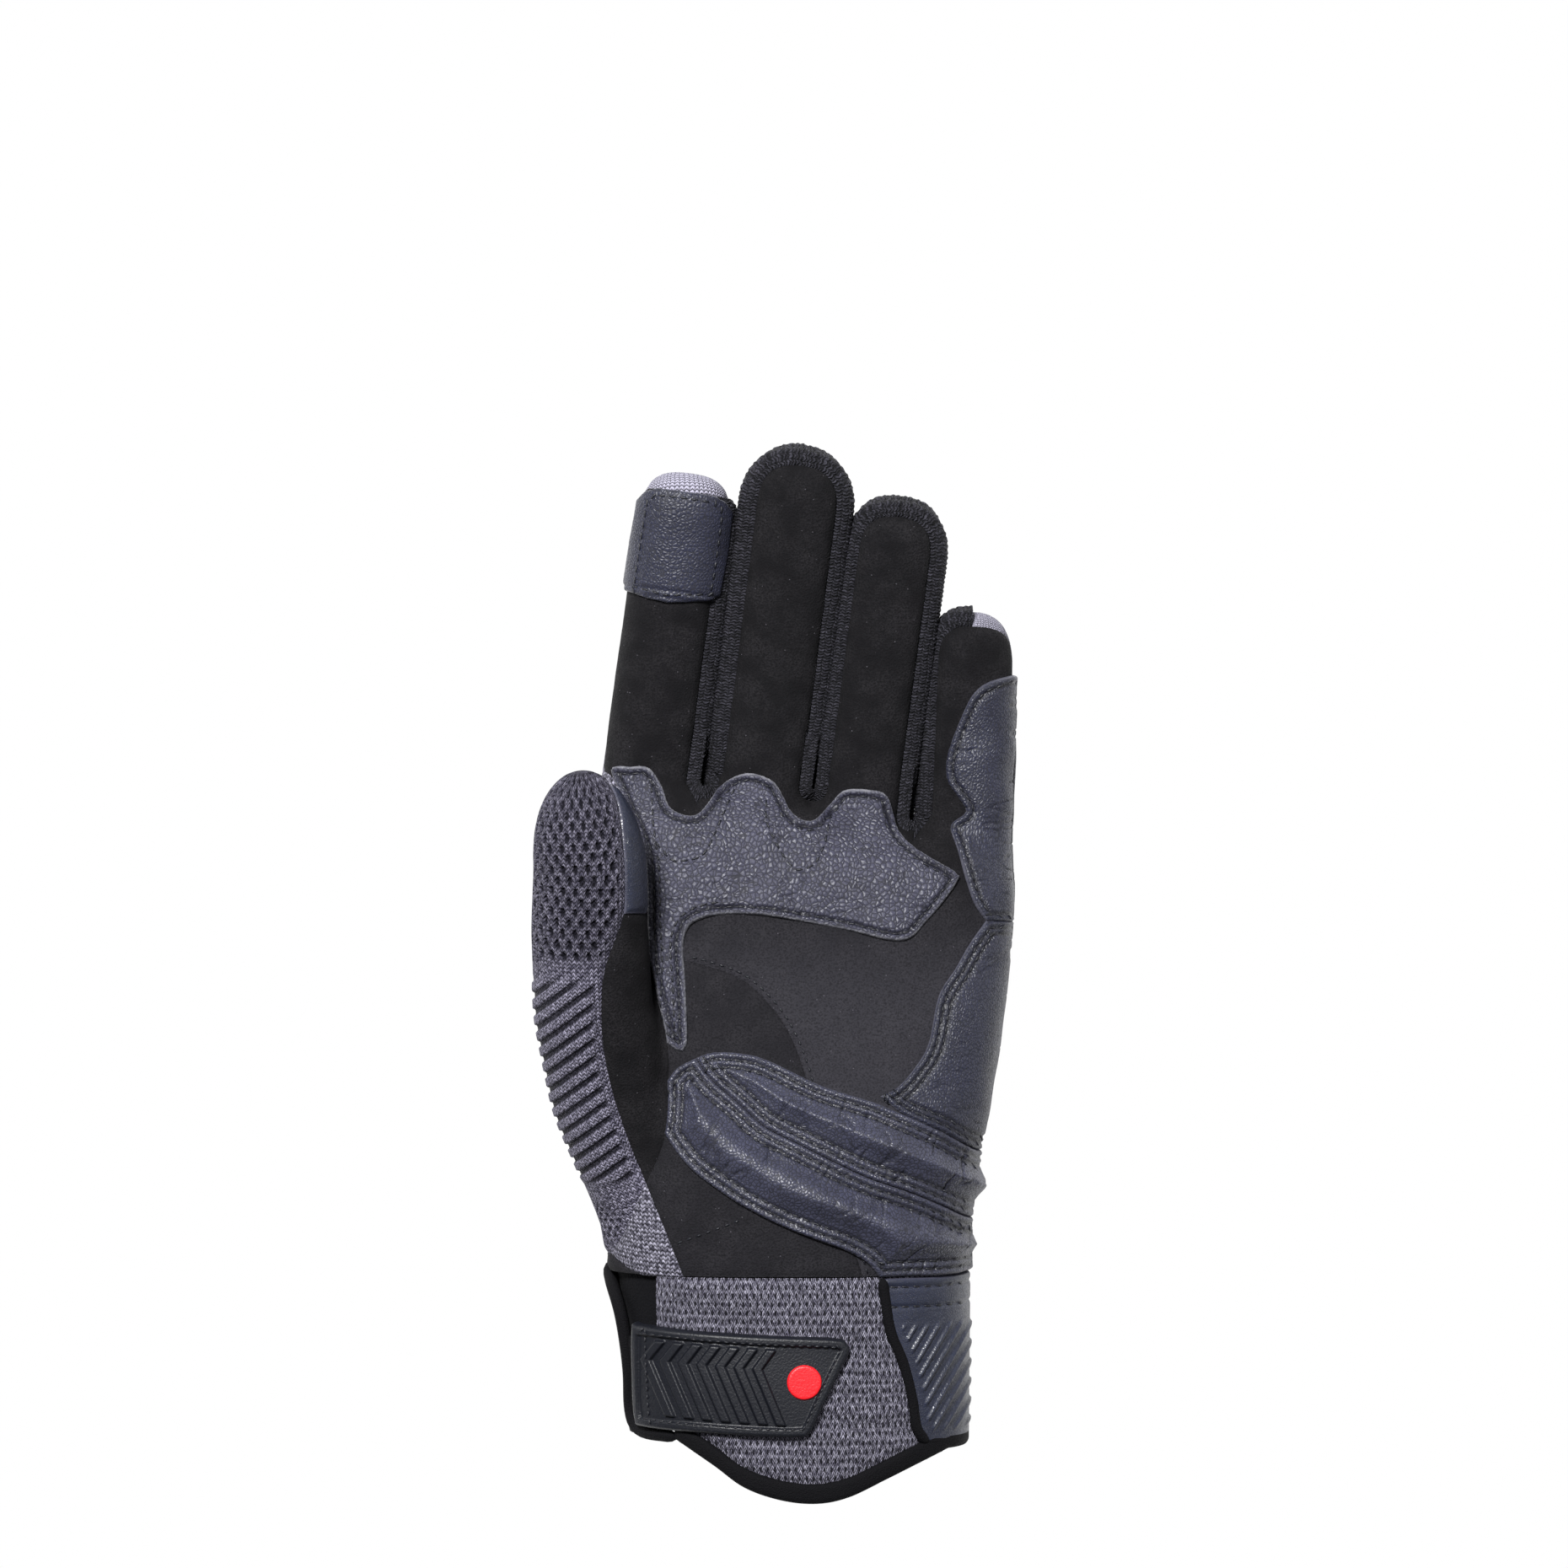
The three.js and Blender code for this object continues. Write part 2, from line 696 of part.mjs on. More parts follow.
const edgeOutline = fromShares([
  [0.434, 0.753],
  [0.394, 0.707],
  [0.361, 0.656],
  [0.32, 0.596],
  [0.296, 0.497],
  [0.263, 0.445],
  [0.222, 0.404],
  [0.182, 0.385],
  ...heelTop.slice(6),
  [0.6, 0.753],
]);
const littleOutline = fromShares([
  [0.6, 1.291],
  [0.508, 1.291],
  [0.442, 1.273],
  [0.41, 1.251],
  [0.386, 1.213],
  [0.349, 1.124],
  [0.345, 1.064],
  [0.369, 1.027],
  [0.39, 0.993],
  [0.361, 0.971],
  [0.353, 0.953],
  [0.369, 0.908],
  [0.386, 0.849],
  [0.406, 0.796],
  [0.434, 0.764],
  [0.6, 0.76],
]);

function indexPatch() {
  const { width, length } = fingers.index;
  const top = length - sideStrip;
  const outline = [
    [-0.45 * width, top - patchLength + patchCorner],
    [-0.43 * width, top - patchLength + patchCorner / 2],
    [-0.05 * width, top - patchLength],
    [0.3 * width, top - patchLength + patchCorner / 2],
    [0.4 * width, top - patchLength + patchCorner],
    [0.41 * width, top - patchCorner],
    [0.34 * width, top - patchCorner / 3],
    [0.24 * width, top],
    [-0.26 * width, top],
    [-0.42 * width, top - patchCorner],
  ];
  const corners = outline.map(([side, ahead]) => onFinger(fingers.index, side, ahead));
  return overlay(corners, leather);
}

const overlay = (outline, thickness) =>
  handLayer(seamGap, seamGap + thickness).intersect(palmSide).intersect(prism(outline));

// Leather side panel of the cuff, with raised diagonal piping
function cuffSide() {
  const outline = fromShares([
    [0.19, -seamGap / cuffLength - 0.02],
    [0.204, -0.32],
    [0.234, -0.52],
    [0.256, -0.75],
    [0.267, -0.94],
    [0.293, -1.03],
    [0.6, -1.01],
    [0.6, -0.02],
  ]);
  const [left, right] = [0.25 * palmWidth, 0.36 * palmWidth];
  const bars = Array.from({ length: pipingCount }, (_, i) => {
    const y = -(0.5 + (0.58 * i) / pipingCount) * cuffLength;
    const rise = 1.7 * (right - left);
    return prism([[left, y], [right, y + rise], [right, y + rise + pipingWidth], [left, y + pipingWidth]]);
  });
  const field = prism(fromShares([[0.24, -0.9], [0.36, -0.9], [0.36, -0.26], [0.2, -0.26]]));
  const piping = overlay(grown(outline, -pipingInset), leather + pipingHeight)
    .intersect(join(bars))
    .intersect(field);
  return overlay(outline, leather).add(piping);
}

// Rubber strap across the slit, with raised chevrons and a round badge
const strapLeft = -0.402 * palmWidth;
const strapTop = -0.3 * cuffLength;
const onStrap = (along, down) => [
  strapLeft + along * strapLength,
  strapTop - down * strapWidth - along * 0.13 * strapWidth,
];
const strapOutline = [
  [0, 0],
  [0.3, 0],
  [0.93, -0.02],
  [0.985, 0.02],
  [1.0, 0.1],
  [0.96, 0.28],
  [0.82, 0.9],
  [0.77, 0.95],
  [0.6, 0.97],
  [0.06, 0.99],
  [0.02, 0.93],
];
const ribPitch = 0.084; // share of the strap's length
const ribWidth = 0.036;
function strap() {
  const plate = overlay(strapOutline.map(([a, b]) => onStrap(a, b)), strapThickness);
  const ribs = Array.from({ length: chevronCount }, (_, i) => {
    const apex = 0.05 + i * ribPitch;
    const far = apex + ribWidth;
    const upper = [[apex, 0.32], [far, 0.32], [far + 0.06, 0.14], [apex + 0.06, 0.14]];
    const lower = [[apex, 0.32], [far, 0.32], [far + 0.11, 0.84], [apex + 0.11, 0.84]];
    return [upper, lower].map((bar) => prism(bar.map(([along, down]) => onStrap(along, down))));
  });
  const raised = overlay(strapOutline.map(([a, b]) => onStrap(a, b)), strapThickness + strapRib);
  return plate.add(raised.intersect(join(ribs.flat())));
}
function badge() {
  const [x, y] = onStrap(0.79, 0.42);
  const round = Array.from({ length: 12 }, (_, i) => {
    const angle = (i * Math.PI) / 6;
    return [x + badgeRadius * Math.cos(angle), y + badgeRadius * Math.sin(angle)];
  });
  const low = strapThickness + 2 * seamGap;
  return handLayer(low, low + badgeThickness).intersect(palmSide).intersect(prism(round));
}

function cuffBack() {
  const beside = backSide.add(prism(foldOutline));
  return handShell.intersect(beside).intersect(cuffSlab);
}
const cuffFront = () => palmHalf.intersect(prism(cuffFrontCut));
const cuffHem = () => palmHalf.intersect(prism(hemOutline()));

// Finishes
const finish = (color, roughness, metalness = 0) =>
  new THREE.MeshStandardMaterial({ color, roughness, metalness });
const greyKnit = finish(0x5b5866, 0.75);
const blackKnit = finish(0x1d1c24, 0.9);
const suede = finish(0x161519, 0.95);
const navyLeather = finish(0x262a38, 0.45);
const rubber = finish(0x1f222b, 0.5);
const binding = finish(0x131217, 0.85);
const red = finish(0xe01420, 0.45);

const glove = new THREE.Group();
function add(name, solid, material) {
  const mesh = new THREE.Mesh(geometryOf(solid), material);
  mesh.name = name;
  glove.add(mesh);
}
add("back_panel", backPanel(), greyKnit);
add("palm_panel", palmPanel(), suede);
add("side_knit_index_middle", sideKnitBetween(fingers.index, fingers.middle), blackKnit);
add("side_knit_middle_ring", sideKnitBetween(fingers.middle, fingers.ring), blackKnit);
add("side_knit_ring_little", sideKnitBetween(fingers.ring, fingers.little), blackKnit);
add("thumb_panel", thumbPanel(), suede);
add("thumb_back", thumbBack(), greyKnit);
add("thumb_pad", thumbPad(), navyLeather);
add("thumb_gusset", thumbGusset(), suede);
add("palm_reinforcement", overlay(reinforcementOutline, leather), navyLeather);
add("heel_pad_upper", overlay(grown(heelUpperOutline, -seamGap / 2), padding), navyLeather);
add("heel_pad_lower", overlay(grown(heelLowerOutline, -seamGap / 2), padding), navyLeather);
add("edge_panel", overlay(grown(edgeOutline, -seamGap), leather), navyLeather);
add("little_finger_patch", overlay(littleOutline, leather), navyLeather);
add("index_tip_patch", indexPatch(), navyLeather);
add("cuff_front", cuffFront(), greyKnit);
add("cuff_back", cuffBack(), binding);
add("cuff_hem", cuffHem(), binding);
add("cuff_side_panel", cuffSide(), navyLeather);
add("strap", strap(), rubber);
add("strap_badge", badge(), red);

// The origin goes to the middle of the table under the glove.
const extent = new THREE.Box3().setFromObject(glove);
const middle = extent.getCenter(new THREE.Vector3());
glove.position.set(-middle.x, -middle.y, -extent.min.z);

export default glove;
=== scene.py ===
# %% [markdown]
# # A motorcycle glove lying palm up
# A short-cuff glove for the left hand is sewn from suede, smooth and pebbled leather and several
# knits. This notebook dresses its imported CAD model. The first cell opens that model as a fixed
# frame: every piece made below keeps its place, its size and its one body.

# %% Open the frame
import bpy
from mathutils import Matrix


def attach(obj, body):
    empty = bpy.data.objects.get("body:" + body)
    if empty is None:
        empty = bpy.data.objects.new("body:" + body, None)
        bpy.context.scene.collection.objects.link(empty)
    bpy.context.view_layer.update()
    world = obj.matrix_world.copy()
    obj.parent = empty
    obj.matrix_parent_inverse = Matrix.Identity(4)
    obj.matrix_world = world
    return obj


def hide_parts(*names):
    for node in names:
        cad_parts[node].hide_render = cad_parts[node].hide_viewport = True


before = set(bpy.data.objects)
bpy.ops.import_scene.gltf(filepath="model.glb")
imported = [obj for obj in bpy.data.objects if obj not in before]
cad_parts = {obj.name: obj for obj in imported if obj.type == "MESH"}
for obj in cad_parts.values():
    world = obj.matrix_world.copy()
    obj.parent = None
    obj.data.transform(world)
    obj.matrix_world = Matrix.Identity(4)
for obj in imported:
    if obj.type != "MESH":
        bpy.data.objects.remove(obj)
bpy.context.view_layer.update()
print("nodes in the frame:", len(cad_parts))

# %% Modules and units
import math

import bmesh
import bpy
import numpy as np
from mathutils import Vector, noise
from mathutils.bvhtree import BVHTree
from mathutils.kdtree import KDTree

MM = 0.001


def in_scene(name, data):
    """A new object that is linked into the scene."""
    made = bpy.data.objects.new(name, data)
    bpy.context.collection.objects.link(made)
    return made


print("lengths are in millimetres, times", MM)

# %% [markdown]
# ## The camera and the light
# The glove is photographed from straight above on white, with a soft light above its fingertips
# and a weak one from the right.
# A long lens keeps the fingers parallel. The camera comes first, so that every piece can be
# judged through it. The view centre is a little above the glove's middle.

# %% Camera
LENS = 120
SENSOR = 36
VIEW_WIDTH = 0.3665
VIEW_CENTRE = (0.0012, 0.0436)
PALM_HEIGHT = 0.028

camera_data = bpy.data.cameras.new("camera")
camera_data.lens = LENS
camera_data.sensor_width = SENSOR
camera = in_scene("camera", camera_data)
camera.location = (*VIEW_CENTRE, PALM_HEIGHT + VIEW_WIDTH * LENS / SENSOR)
bpy.context.scene.camera = camera
print("camera height:", round(camera.location.z, 3), "m")

# %% Light and floor
SKY = 0.22  # strength of the even white light from all round
bpy.context.scene.view_settings.view_transform = "Standard"
world = bpy.data.worlds.new("studio")
world.use_nodes = True
world.node_tree.nodes["Background"].inputs["Color"].default_value = (1.0, 1.0, 1.0, 1.0)
world.node_tree.nodes["Background"].inputs["Strength"].default_value = SKY
bpy.context.scene.world = world


def soft_light(name, place, target, size, power):
    """A square area light that looks at a point."""
    data = bpy.data.lights.new(name, "AREA")
    data.size = size
    data.energy = power
    lamp = in_scene(name, data)
    lamp.location = place
    lamp.rotation_euler = (Vector(target) - Vector(place)).to_track_quat("-Z", "Y").to_euler()


soft_light("key", (-0.22, 0.46, 0.85), (0, 0, 0), 0.2, 24)
soft_light("fill", (0.65, 0.05, 0.5), (0, 0, 0), 0.3, 1.1)

floor_mesh = bpy.data.meshes.new("floor")
floor_mesh.from_pydata([(-4, -4, 0), (4, -4, 0), (4, 4, 0), (-4, 4, 0)], [], [(0, 1, 2, 3)])
floor = in_scene("floor", floor_mesh)
floor_material = bpy.data.materials.new("white paper")
floor_material.use_nodes = True
floor_shader = floor_material.node_tree.nodes["Principled BSDF"]
floor_shader.inputs["Base Color"].default_value = (0.93, 0.93, 0.93, 1.0)
floor_shader.inputs["Roughness"].default_value = 0.9
floor_nodes = floor_material.node_tree.nodes
glow = floor_nodes.new("ShaderNodeEmission")
seen = floor_nodes.new("ShaderNodeLightPath")
blend = floor_nodes.new("ShaderNodeMixShader")
floor_links = floor_material.node_tree.links
floor_links.new(seen.outputs["Is Camera Ray"], blend.inputs[0])
floor_links.new(floor_shader.outputs[0], blend.inputs[1])
floor_links.new(glow.outputs[0], blend.inputs[2])
floor_links.new(blend.outputs[0], floor_nodes["Material Output"].inputs["Surface"])
floor_mesh.materials.append(floor_material)
print("lights and floor are set")

# %% [markdown]
# ## The hand inside the glove
# The glove keeps the form of a hand: one broad tube for palm and cuff, one tube for each finger
# and one for the thumb. The rows below are sections along them, as shares of the palm's width,
# length and thickness, and are the same as in the CAD source. A smooth surface could be sculpted
# freely, but tubes through measured sections keep it inside the CAD model.

# %% Sizes and sections in millimetres
PALM_WIDTH = 98.6
PALM_LENGTH = 108.5
PALM_THICKNESS = 43.0
CUFF_LENGTH = 37.5
HEM_DROP = 14.5
FINGER_LIFT = 12.0
THUMB_LENGTH = 112.0
THUMB_WIDTH = 27.0
THUMB_THICKNESS = 25.0
TABLE_SINK = 1.5
FINGER_ROOT = 26.0
TIP_EXTRA = {"index": 0.4, "middle": -0.7, "ring": -0.6, "little": -0.9}
WRIST_SEAM = (5.602, -70.601)
CUFF_START = -66.0  # the tube runs on below the hem, where it is cut off

HAND_ROWS = [
    # along, left, right, high, dish, slant, square
    (-1.42, -0.408, 0.383, 1.00, 0.00, 0.00, 2.3),
    (-0.70, -0.418, 0.385, 1.00, 0.00, 0.00, 2.3),
    (0.00, -0.462, 0.388, 0.99, 0.00, 0.00, 2.4),
    (0.12, -0.488, 0.388, 1.01, 0.00, 0.00, 2.5),
    (0.24, -0.496, 0.404, 1.02, 0.03, 0.00, 2.6),
    (0.38, -0.496, 0.438, 0.98, 0.07, 0.00, 2.7),
    (0.54, -0.496, 0.466, 0.90, 0.09, 0.04, 2.8),
    (0.70, -0.498, 0.480, 0.80, 0.06, 0.09, 2.9),
    (0.85, -0.498, 0.494, 0.70, 0.02, 0.14, 3.2),
    (0.95, -0.490, 0.500, 0.61, 0.00, 0.17, 3.4),
    (1.00, -0.470, 0.480, 0.50, 0.00, 0.18, 3.0),
]
FINGERS = {
    # side, along, lean, length, width, thickness, taper, blunt
    "index": (-0.370, 1.027, 0.133, 75.9, 24.9, 22.5, 0.95, 3.0),
    "middle": (-0.102, 1.027, 0.127, 82.1, 26.2, 23.0, 0.99, 2.3),
    "ring": (0.140, 1.009, 0.131, 72.2, 24.4, 22.5, 0.97, 2.5),
    "little": (0.386, 0.945, 0.038, 53.3, 23.0, 21.0, 0.93, 2.5),
}
THUMB_ROWS = [
    # along, side, up, wide
    (0.000, 0.000, 0.000, 1.16),
    (0.140, -0.056, 0.027, 1.12),
    (0.316, -0.137, 0.080, 1.06),
    (0.492, -0.174, 0.143, 1.02),
    (0.668, -0.181, 0.196, 1.00),
    (0.800, -0.179, 0.230, 0.96),
    (1.000, -0.200, 0.263, 0.92),
]
THUMB_ROOT = (-0.295, 0.055, 0.465)
LONGEST = max(f[3] for f in FINGERS.values())
KNUCKLE_Y = min(f[1] for f in FINGERS.values()) * PALM_LENGTH


def along_y(share):
    return share * (CUFF_LENGTH if share < 0 else PALM_LENGTH)


def spots(rows):
    """Points of an outline, from shares of the palm to millimetres about the wrist seam."""
    return [(side * PALM_WIDTH, along_y(along)) for side, along in rows]


def on_finger(name, across, ahead):
    """A point on a finger's own axes, about the wrist seam."""
    side, along, lean = FINGERS[name][:3]
    x, y = spots([(side, along)])[0]
    length = math.hypot(1, lean)
    return (x + (lean * ahead + across) / length, y + (ahead - lean * across) / length)


print("longest finger:", LONGEST, "mm")

# %% Rings and tubes


def ring(centre, across, half_width, half_height, square, sides, dish=0.0):
    """A squared-off ellipse that the table flattens from below."""
    angle = -2 * np.pi * np.arange(sides) / sides
    u = np.sign(np.cos(angle)) * np.abs(np.cos(angle)) ** (2 / square)
    w = np.sign(np.sin(angle)) * np.abs(np.sin(angle)) ** (2 / square)
    hollow = np.where(w > 0, dish * (1 - u * u) * w, 0)
    points = np.outer(u * half_width, across) + centre
    points[:, 2] = np.maximum(0, centre[2] + w * half_height - hollow)
    return points


def tube(rings):
    """Vertices and faces of a closed tube through rings of equal size."""
    sides = len(rings[0])
    points = np.vstack(rings + [rings[0].mean(0)[None], rings[-1].mean(0)[None]])
    faces = []
    for r in range(len(rings) - 1):
        for i in range(sides):
            a, b = r * sides + i, r * sides + (i + 1) % sides
            faces.append((a, b, b + sides, a + sides))
    last = (len(rings) - 1) * sides
    for i in range(sides):
        j = (i + 1) % sides
        faces.append((j, i, len(points) - 2))
        faces.append((last + i, last + j, len(points) - 1))
    return points, faces


def smooth_rows(rows, at, blur=5.0):
    """Sections between the given ones, with the corners rounded off."""
    table = np.array(rows)
    known = np.array([along_y(a) for a in table[:, 0]])
    dense = np.linspace(known[0], known[-1], 400)
    step = dense[1] - dense[0]
    reach = int(3 * blur / step)
    kernel = np.exp(-0.5 * (np.arange(-reach, reach + 1) * step / blur) ** 2)
    kernel /= kernel.sum()
    columns = []
    for k in range(1, table.shape[1]):
        line = np.interp(dense, known, table[:, k])
        soft = np.convolve(np.pad(line, reach, mode="edge"), kernel, mode="valid")
        columns.append(np.interp(at, dense, soft))
    return np.array(columns).T


def palm_tube(offset=0.0, sides=160, step=1.0):
    ys = np.arange(CUFF_START, PALM_LENGTH + 0.01, step)
    rings = []
    for y, (left, right, high, dish, slant, square) in zip(ys, smooth_rows(HAND_ROWS, ys)):
        tall = high * PALM_THICKNESS
        centre = np.array([(left + right) * PALM_WIDTH / 2, y, (tall - TABLE_SINK) / 2])
        half = (right - left) * PALM_WIDTH / 2 + offset
        points = ring(centre, (1, 0, 0), half, (tall + TABLE_SINK) / 2 + offset, square, sides,
                      dish * PALM_THICKNESS)
        points[:, 1] -= slant * points[:, 0]
        rings.append(points)
    return tube(rings)


def finger_axis_z(y, thickness):
    reach = np.clip((y - KNUCKLE_Y) / LONGEST, 0, 1.2)
    return (thickness - TABLE_SINK) / 2 + FINGER_LIFT * reach ** 2


def finger_tube(name, offset=0.0, sides=64, step=1.0):
    side, along, lean, length, width, thickness, taper, blunt = FINGERS[name]
    tip = 0.62 * width + offset
    reach = length + TIP_EXTRA[name]
    across = np.array([1, -lean, 0]) / math.hypot(1, lean)
    shaft = [(a, 1.0) for a in np.arange(-FINGER_ROOT, reach - tip, step)]
    turn = np.sin(np.linspace(0, np.pi / 2, 22))
    end = [(reach - tip * (1 - s), max(0.03, (1 - s ** blunt) ** (1 / blunt))) for s in turn]
    rings = []
    for ahead, scale in shaft + end:
        scale *= np.interp(ahead, [-FINGER_ROOT, -FINGER_ROOT / 3], [0.7, 1.0])
        narrow = 1 + (taper - 1) * np.clip(ahead / length, 0, 1)
        x, y = on_finger(name, 0, ahead)
        centre = np.array([x, y, finger_axis_z(y, thickness)])
        rings.append(ring(centre, across, (width * narrow / 2 + offset) * scale,
                          (thickness * narrow / 2 + offset) * scale, 2.4, sides))
    return tube(rings)


def run_length(line):
    """The length along a line up to each of its points."""
    return np.concatenate([[0], np.cumsum(np.linalg.norm(np.diff(line, axis=0), axis=1))])


def point_at(at, length, line):
    """Points of a line where its length is as given."""
    return np.array([np.interp(at, length, column) for column in np.transpose(line)]).T


def thumb_line(steps=110):
    """Points on the thumb's middle line, evenly spaced, and its width there."""
    root = np.array([THUMB_ROOT[0] * PALM_WIDTH, THUMB_ROOT[1] * PALM_LENGTH,
                     THUMB_ROOT[2] * PALM_THICKNESS])
    rows = np.array(THUMB_ROWS)
    known = root + THUMB_LENGTH * rows[:, [1, 0, 2]]
    at = np.linspace(0, len(rows) - 1, 400)
    dense = point_at(at, range(len(rows)), known)
    for _ in range(60):
        dense[1:-1] = (dense[:-2] + dense[1:-1] + dense[2:]) / 3
    length = run_length(dense)
    even = np.linspace(0, length[-1], steps)
    line = point_at(even, length, dense)
    wide = np.interp(np.interp(even, length, at), range(len(rows)), rows[:, 3])
    return line, wide, even


def thumb_tube(offset=0.0, sides=72):
    line, wide, length = thumb_line()
    tip = 0.85 * THUMB_WIDTH
    rings = []
    stations = list(np.linspace(0, length[-1] - tip, 80)) + list(
        length[-1] - tip * (1 - np.sin(np.linspace(0, np.pi / 2, 22))))[1:]
    for s in stations:
        centre = point_at(s, length, line)
        ahead = point_at(s + 1, length, line) - point_at(s - 1, length, line)
        ahead /= np.linalg.norm(ahead)
        share = np.clip((s - length[-1] + tip) / tip, 0, 1)
        scale = max(0.03, (1 - share ** 2.1) ** (1 / 2.1))
        across = np.array([ahead[1], -ahead[0], 0]) / math.hypot(ahead[0], ahead[1])
        centre = centre + ahead * offset * share
        w = np.interp(s, length, wide)
        rings.append(ring(centre, across, (THUMB_WIDTH * w / 2 + offset) * scale,
                          (THUMB_THICKNESS * w / 2 + offset) * scale, 2.2, sides))
    return tube(rings)


print("thumb line:", round(thumb_line()[2][-1], 1), "mm long")

# %% [markdown]
# ## One skin over all the tubes
# A voxel remesh melts the tubes into one closed skin, and a few rounds of smoothing round off the
# places where they meet, as cloth does. Everything that the glove is sewn from is later cut out
# of this skin. Joining the tubes exactly would leave hard creases at the crotches.

# %% The skin


def new_object(name, points, faces, kind=0):
    """An object whose faces are all of one kind, which cuts keep."""
    mesh = bpy.data.meshes.new(name)
    mesh.from_pydata([tuple(p) for p in np.asarray(points)], [], faces)
    mesh.materials.append(None)
    mesh.materials.append(None)
    mesh.polygons.foreach_set("material_index", [kind] * len(mesh.polygons))
    return in_scene(name, mesh)


def bare_mesh(points, faces):
    made = new_object("bare", points, faces)
    mesh = made.data
    bpy.data.objects.remove(made)
    return mesh


def points_and_faces(mesh):
    points = np.empty(len(mesh.vertices) * 3)
    mesh.vertices.foreach_get("co", points)
    return points.reshape(-1, 3), [tuple(p.vertices) for p in mesh.polygons]


def baked(thing, *helpers):
    """The mesh of an object after its modifiers. It and its helpers go away."""
    graph = bpy.context.evaluated_depsgraph_get()
    mesh = bpy.data.meshes.new_from_object(thing.evaluated_get(graph))
    for spent in (thing, *helpers):
        bpy.data.objects.remove(spent)
    return mesh


def melted(tubes, voxel, rounds):
    points = np.vstack([t[0] for t in tubes])
    faces, start = [], 0
    for part_points, part_faces in tubes:
        faces += [tuple(i + start for i in face) for face in part_faces]
        start += len(part_points)
    lump = new_object("lump", points, faces)
    remesh = lump.modifiers.new("remesh", "REMESH")
    remesh.mode = "VOXEL"
    remesh.voxel_size = voxel
    soften = lump.modifiers.new("soften", "SMOOTH")
    soften.factor = 0.5
    soften.iterations = rounds
    return points_and_faces(baked(lump))


VOXEL = 0.7
SMOOTHING = 9
FINGER_SLIM = 0.7  # the melted fingers grow by this much
tubes = [palm_tube()] + [finger_tube(n, -FINGER_SLIM) for n in FINGERS] + [thumb_tube()]
skin_points, skin_faces = melted(tubes, VOXEL, SMOOTHING)


def eased(points, faces, weight, rounds):
    """Points that drift to the middle of their neighbours, each by its own weight."""
    edges = np.array([(f[i], f[i - 1]) for f in faces for i in range(len(f))])
    count = np.bincount(edges.ravel(), minlength=len(points))[:, None]
    for _ in range(rounds):
        total = np.zeros_like(points)
        np.add.at(total, edges[:, 0], points[edges[:, 1]])
        np.add.at(total, edges[:, 1], points[edges[:, 0]])
        points = points + weight[:, None] * 0.5 * (total / count - points)
    return points


KNUCKLE_SLANT = HAND_ROWS[-1][5]
KNUCKLE_REACH = 8
knuckles = PALM_LENGTH - KNUCKLE_SLANT * skin_points[:, 0] - 2
near_knuckles = np.exp(-((skin_points[:, 1] - knuckles) / KNUCKLE_REACH) ** 2)
near_knuckles *= skin_points[:, 2] > FINGER_LIFT
skin_points = eased(skin_points, skin_faces, near_knuckles, 60)


def rumple(points, size, amount):
    """Soft unevenness: how far each point moves, from smooth noise."""
    return np.array([noise.noise(Vector(p) / size) for p in points]) * amount


skin_points[:, 2] += rumple(skin_points, 17, 0.45) * (skin_points[:, 2] > 2)
skin_points[:, 2] = np.maximum(skin_points[:, 2], 0)
print("skin:", len(skin_points), "points")


# %% [markdown]
# ## Finishes
# Every finish is procedural. Knit loops, leather grain, suede nap and worn edges are shared
# patterns, so each is a node group with its own sizes as inputs. Patterns are laid out in
# millimetres on the flat panel, which keeps their size true. Painted pictures could carry the
# same look, but would not stay sharp when the part is resized.

# %% Node tools


class Graph:
    """Adds shader nodes to a tree, with plain values or sockets as their inputs."""

    def __init__(self, tree):
        self.tree = tree

    def node(self, kind, **settings):
        made = self.tree.nodes.new("ShaderNode" + kind)
        for key, value in settings.items():
            setattr(made, key, value)
        return made

    def plug(self, value, socket):
        if isinstance(value, bpy.types.NodeSocket):
            self.tree.links.new(value, socket)
        else:
            socket.default_value = value

    def math(self, operation, a, b=0.0):
        made = self.node("Math", operation=operation)
        self.plug(a, made.inputs[0])
        self.plug(b, made.inputs[1])
        return made.outputs[0]

    def band(self, value, low, high, start=0.0, end=1.0):
        """Goes smoothly from start to end while the value goes from low to high."""
        made = self.node("MapRange", interpolation_type="SMOOTHSTEP")
        for name, given in zip(("Value", "From Min", "From Max", "To Min", "To Max"),
                               (value, low, high, start, end)):
            self.plug(given, made.inputs[name])
        return made.outputs["Result"]

    def mix(self, factor, a, b):
        made = self.node("Mix", data_type="RGBA")
        self.plug(factor, made.inputs[0])
        self.plug(a, made.inputs[6])
        self.plug(b, made.inputs[7])
        return made.outputs[2]

    def noise(self, place, scale, detail=2.0):
        made = self.node("TexNoise")
        self.plug(place, made.inputs["Vector"])
        self.plug(scale, made.inputs["Scale"])
        made.inputs["Detail"].default_value = detail
        return made.outputs["Fac"]


def node_group(name, inputs, outputs):
    """A new group: its graph, its input sockets by name, and its output node."""
    tree = bpy.data.node_groups.new(name, "ShaderNodeTree")
    tree.interface.new_socket("Place", in_out="INPUT", socket_type="NodeSocketVector")
    for label, value in inputs.items():
        socket = tree.interface.new_socket(label, in_out="INPUT", socket_type="NodeSocketFloat")
        socket.default_value = value
    for label in outputs:
        tree.interface.new_socket(label, in_out="OUTPUT", socket_type="NodeSocketFloat")
    entry = tree.nodes.new("NodeGroupInput")
    ending = tree.nodes.new("NodeGroupOutput")
    return Graph(tree), {o.name: o for o in entry.outputs if o.name}, ending


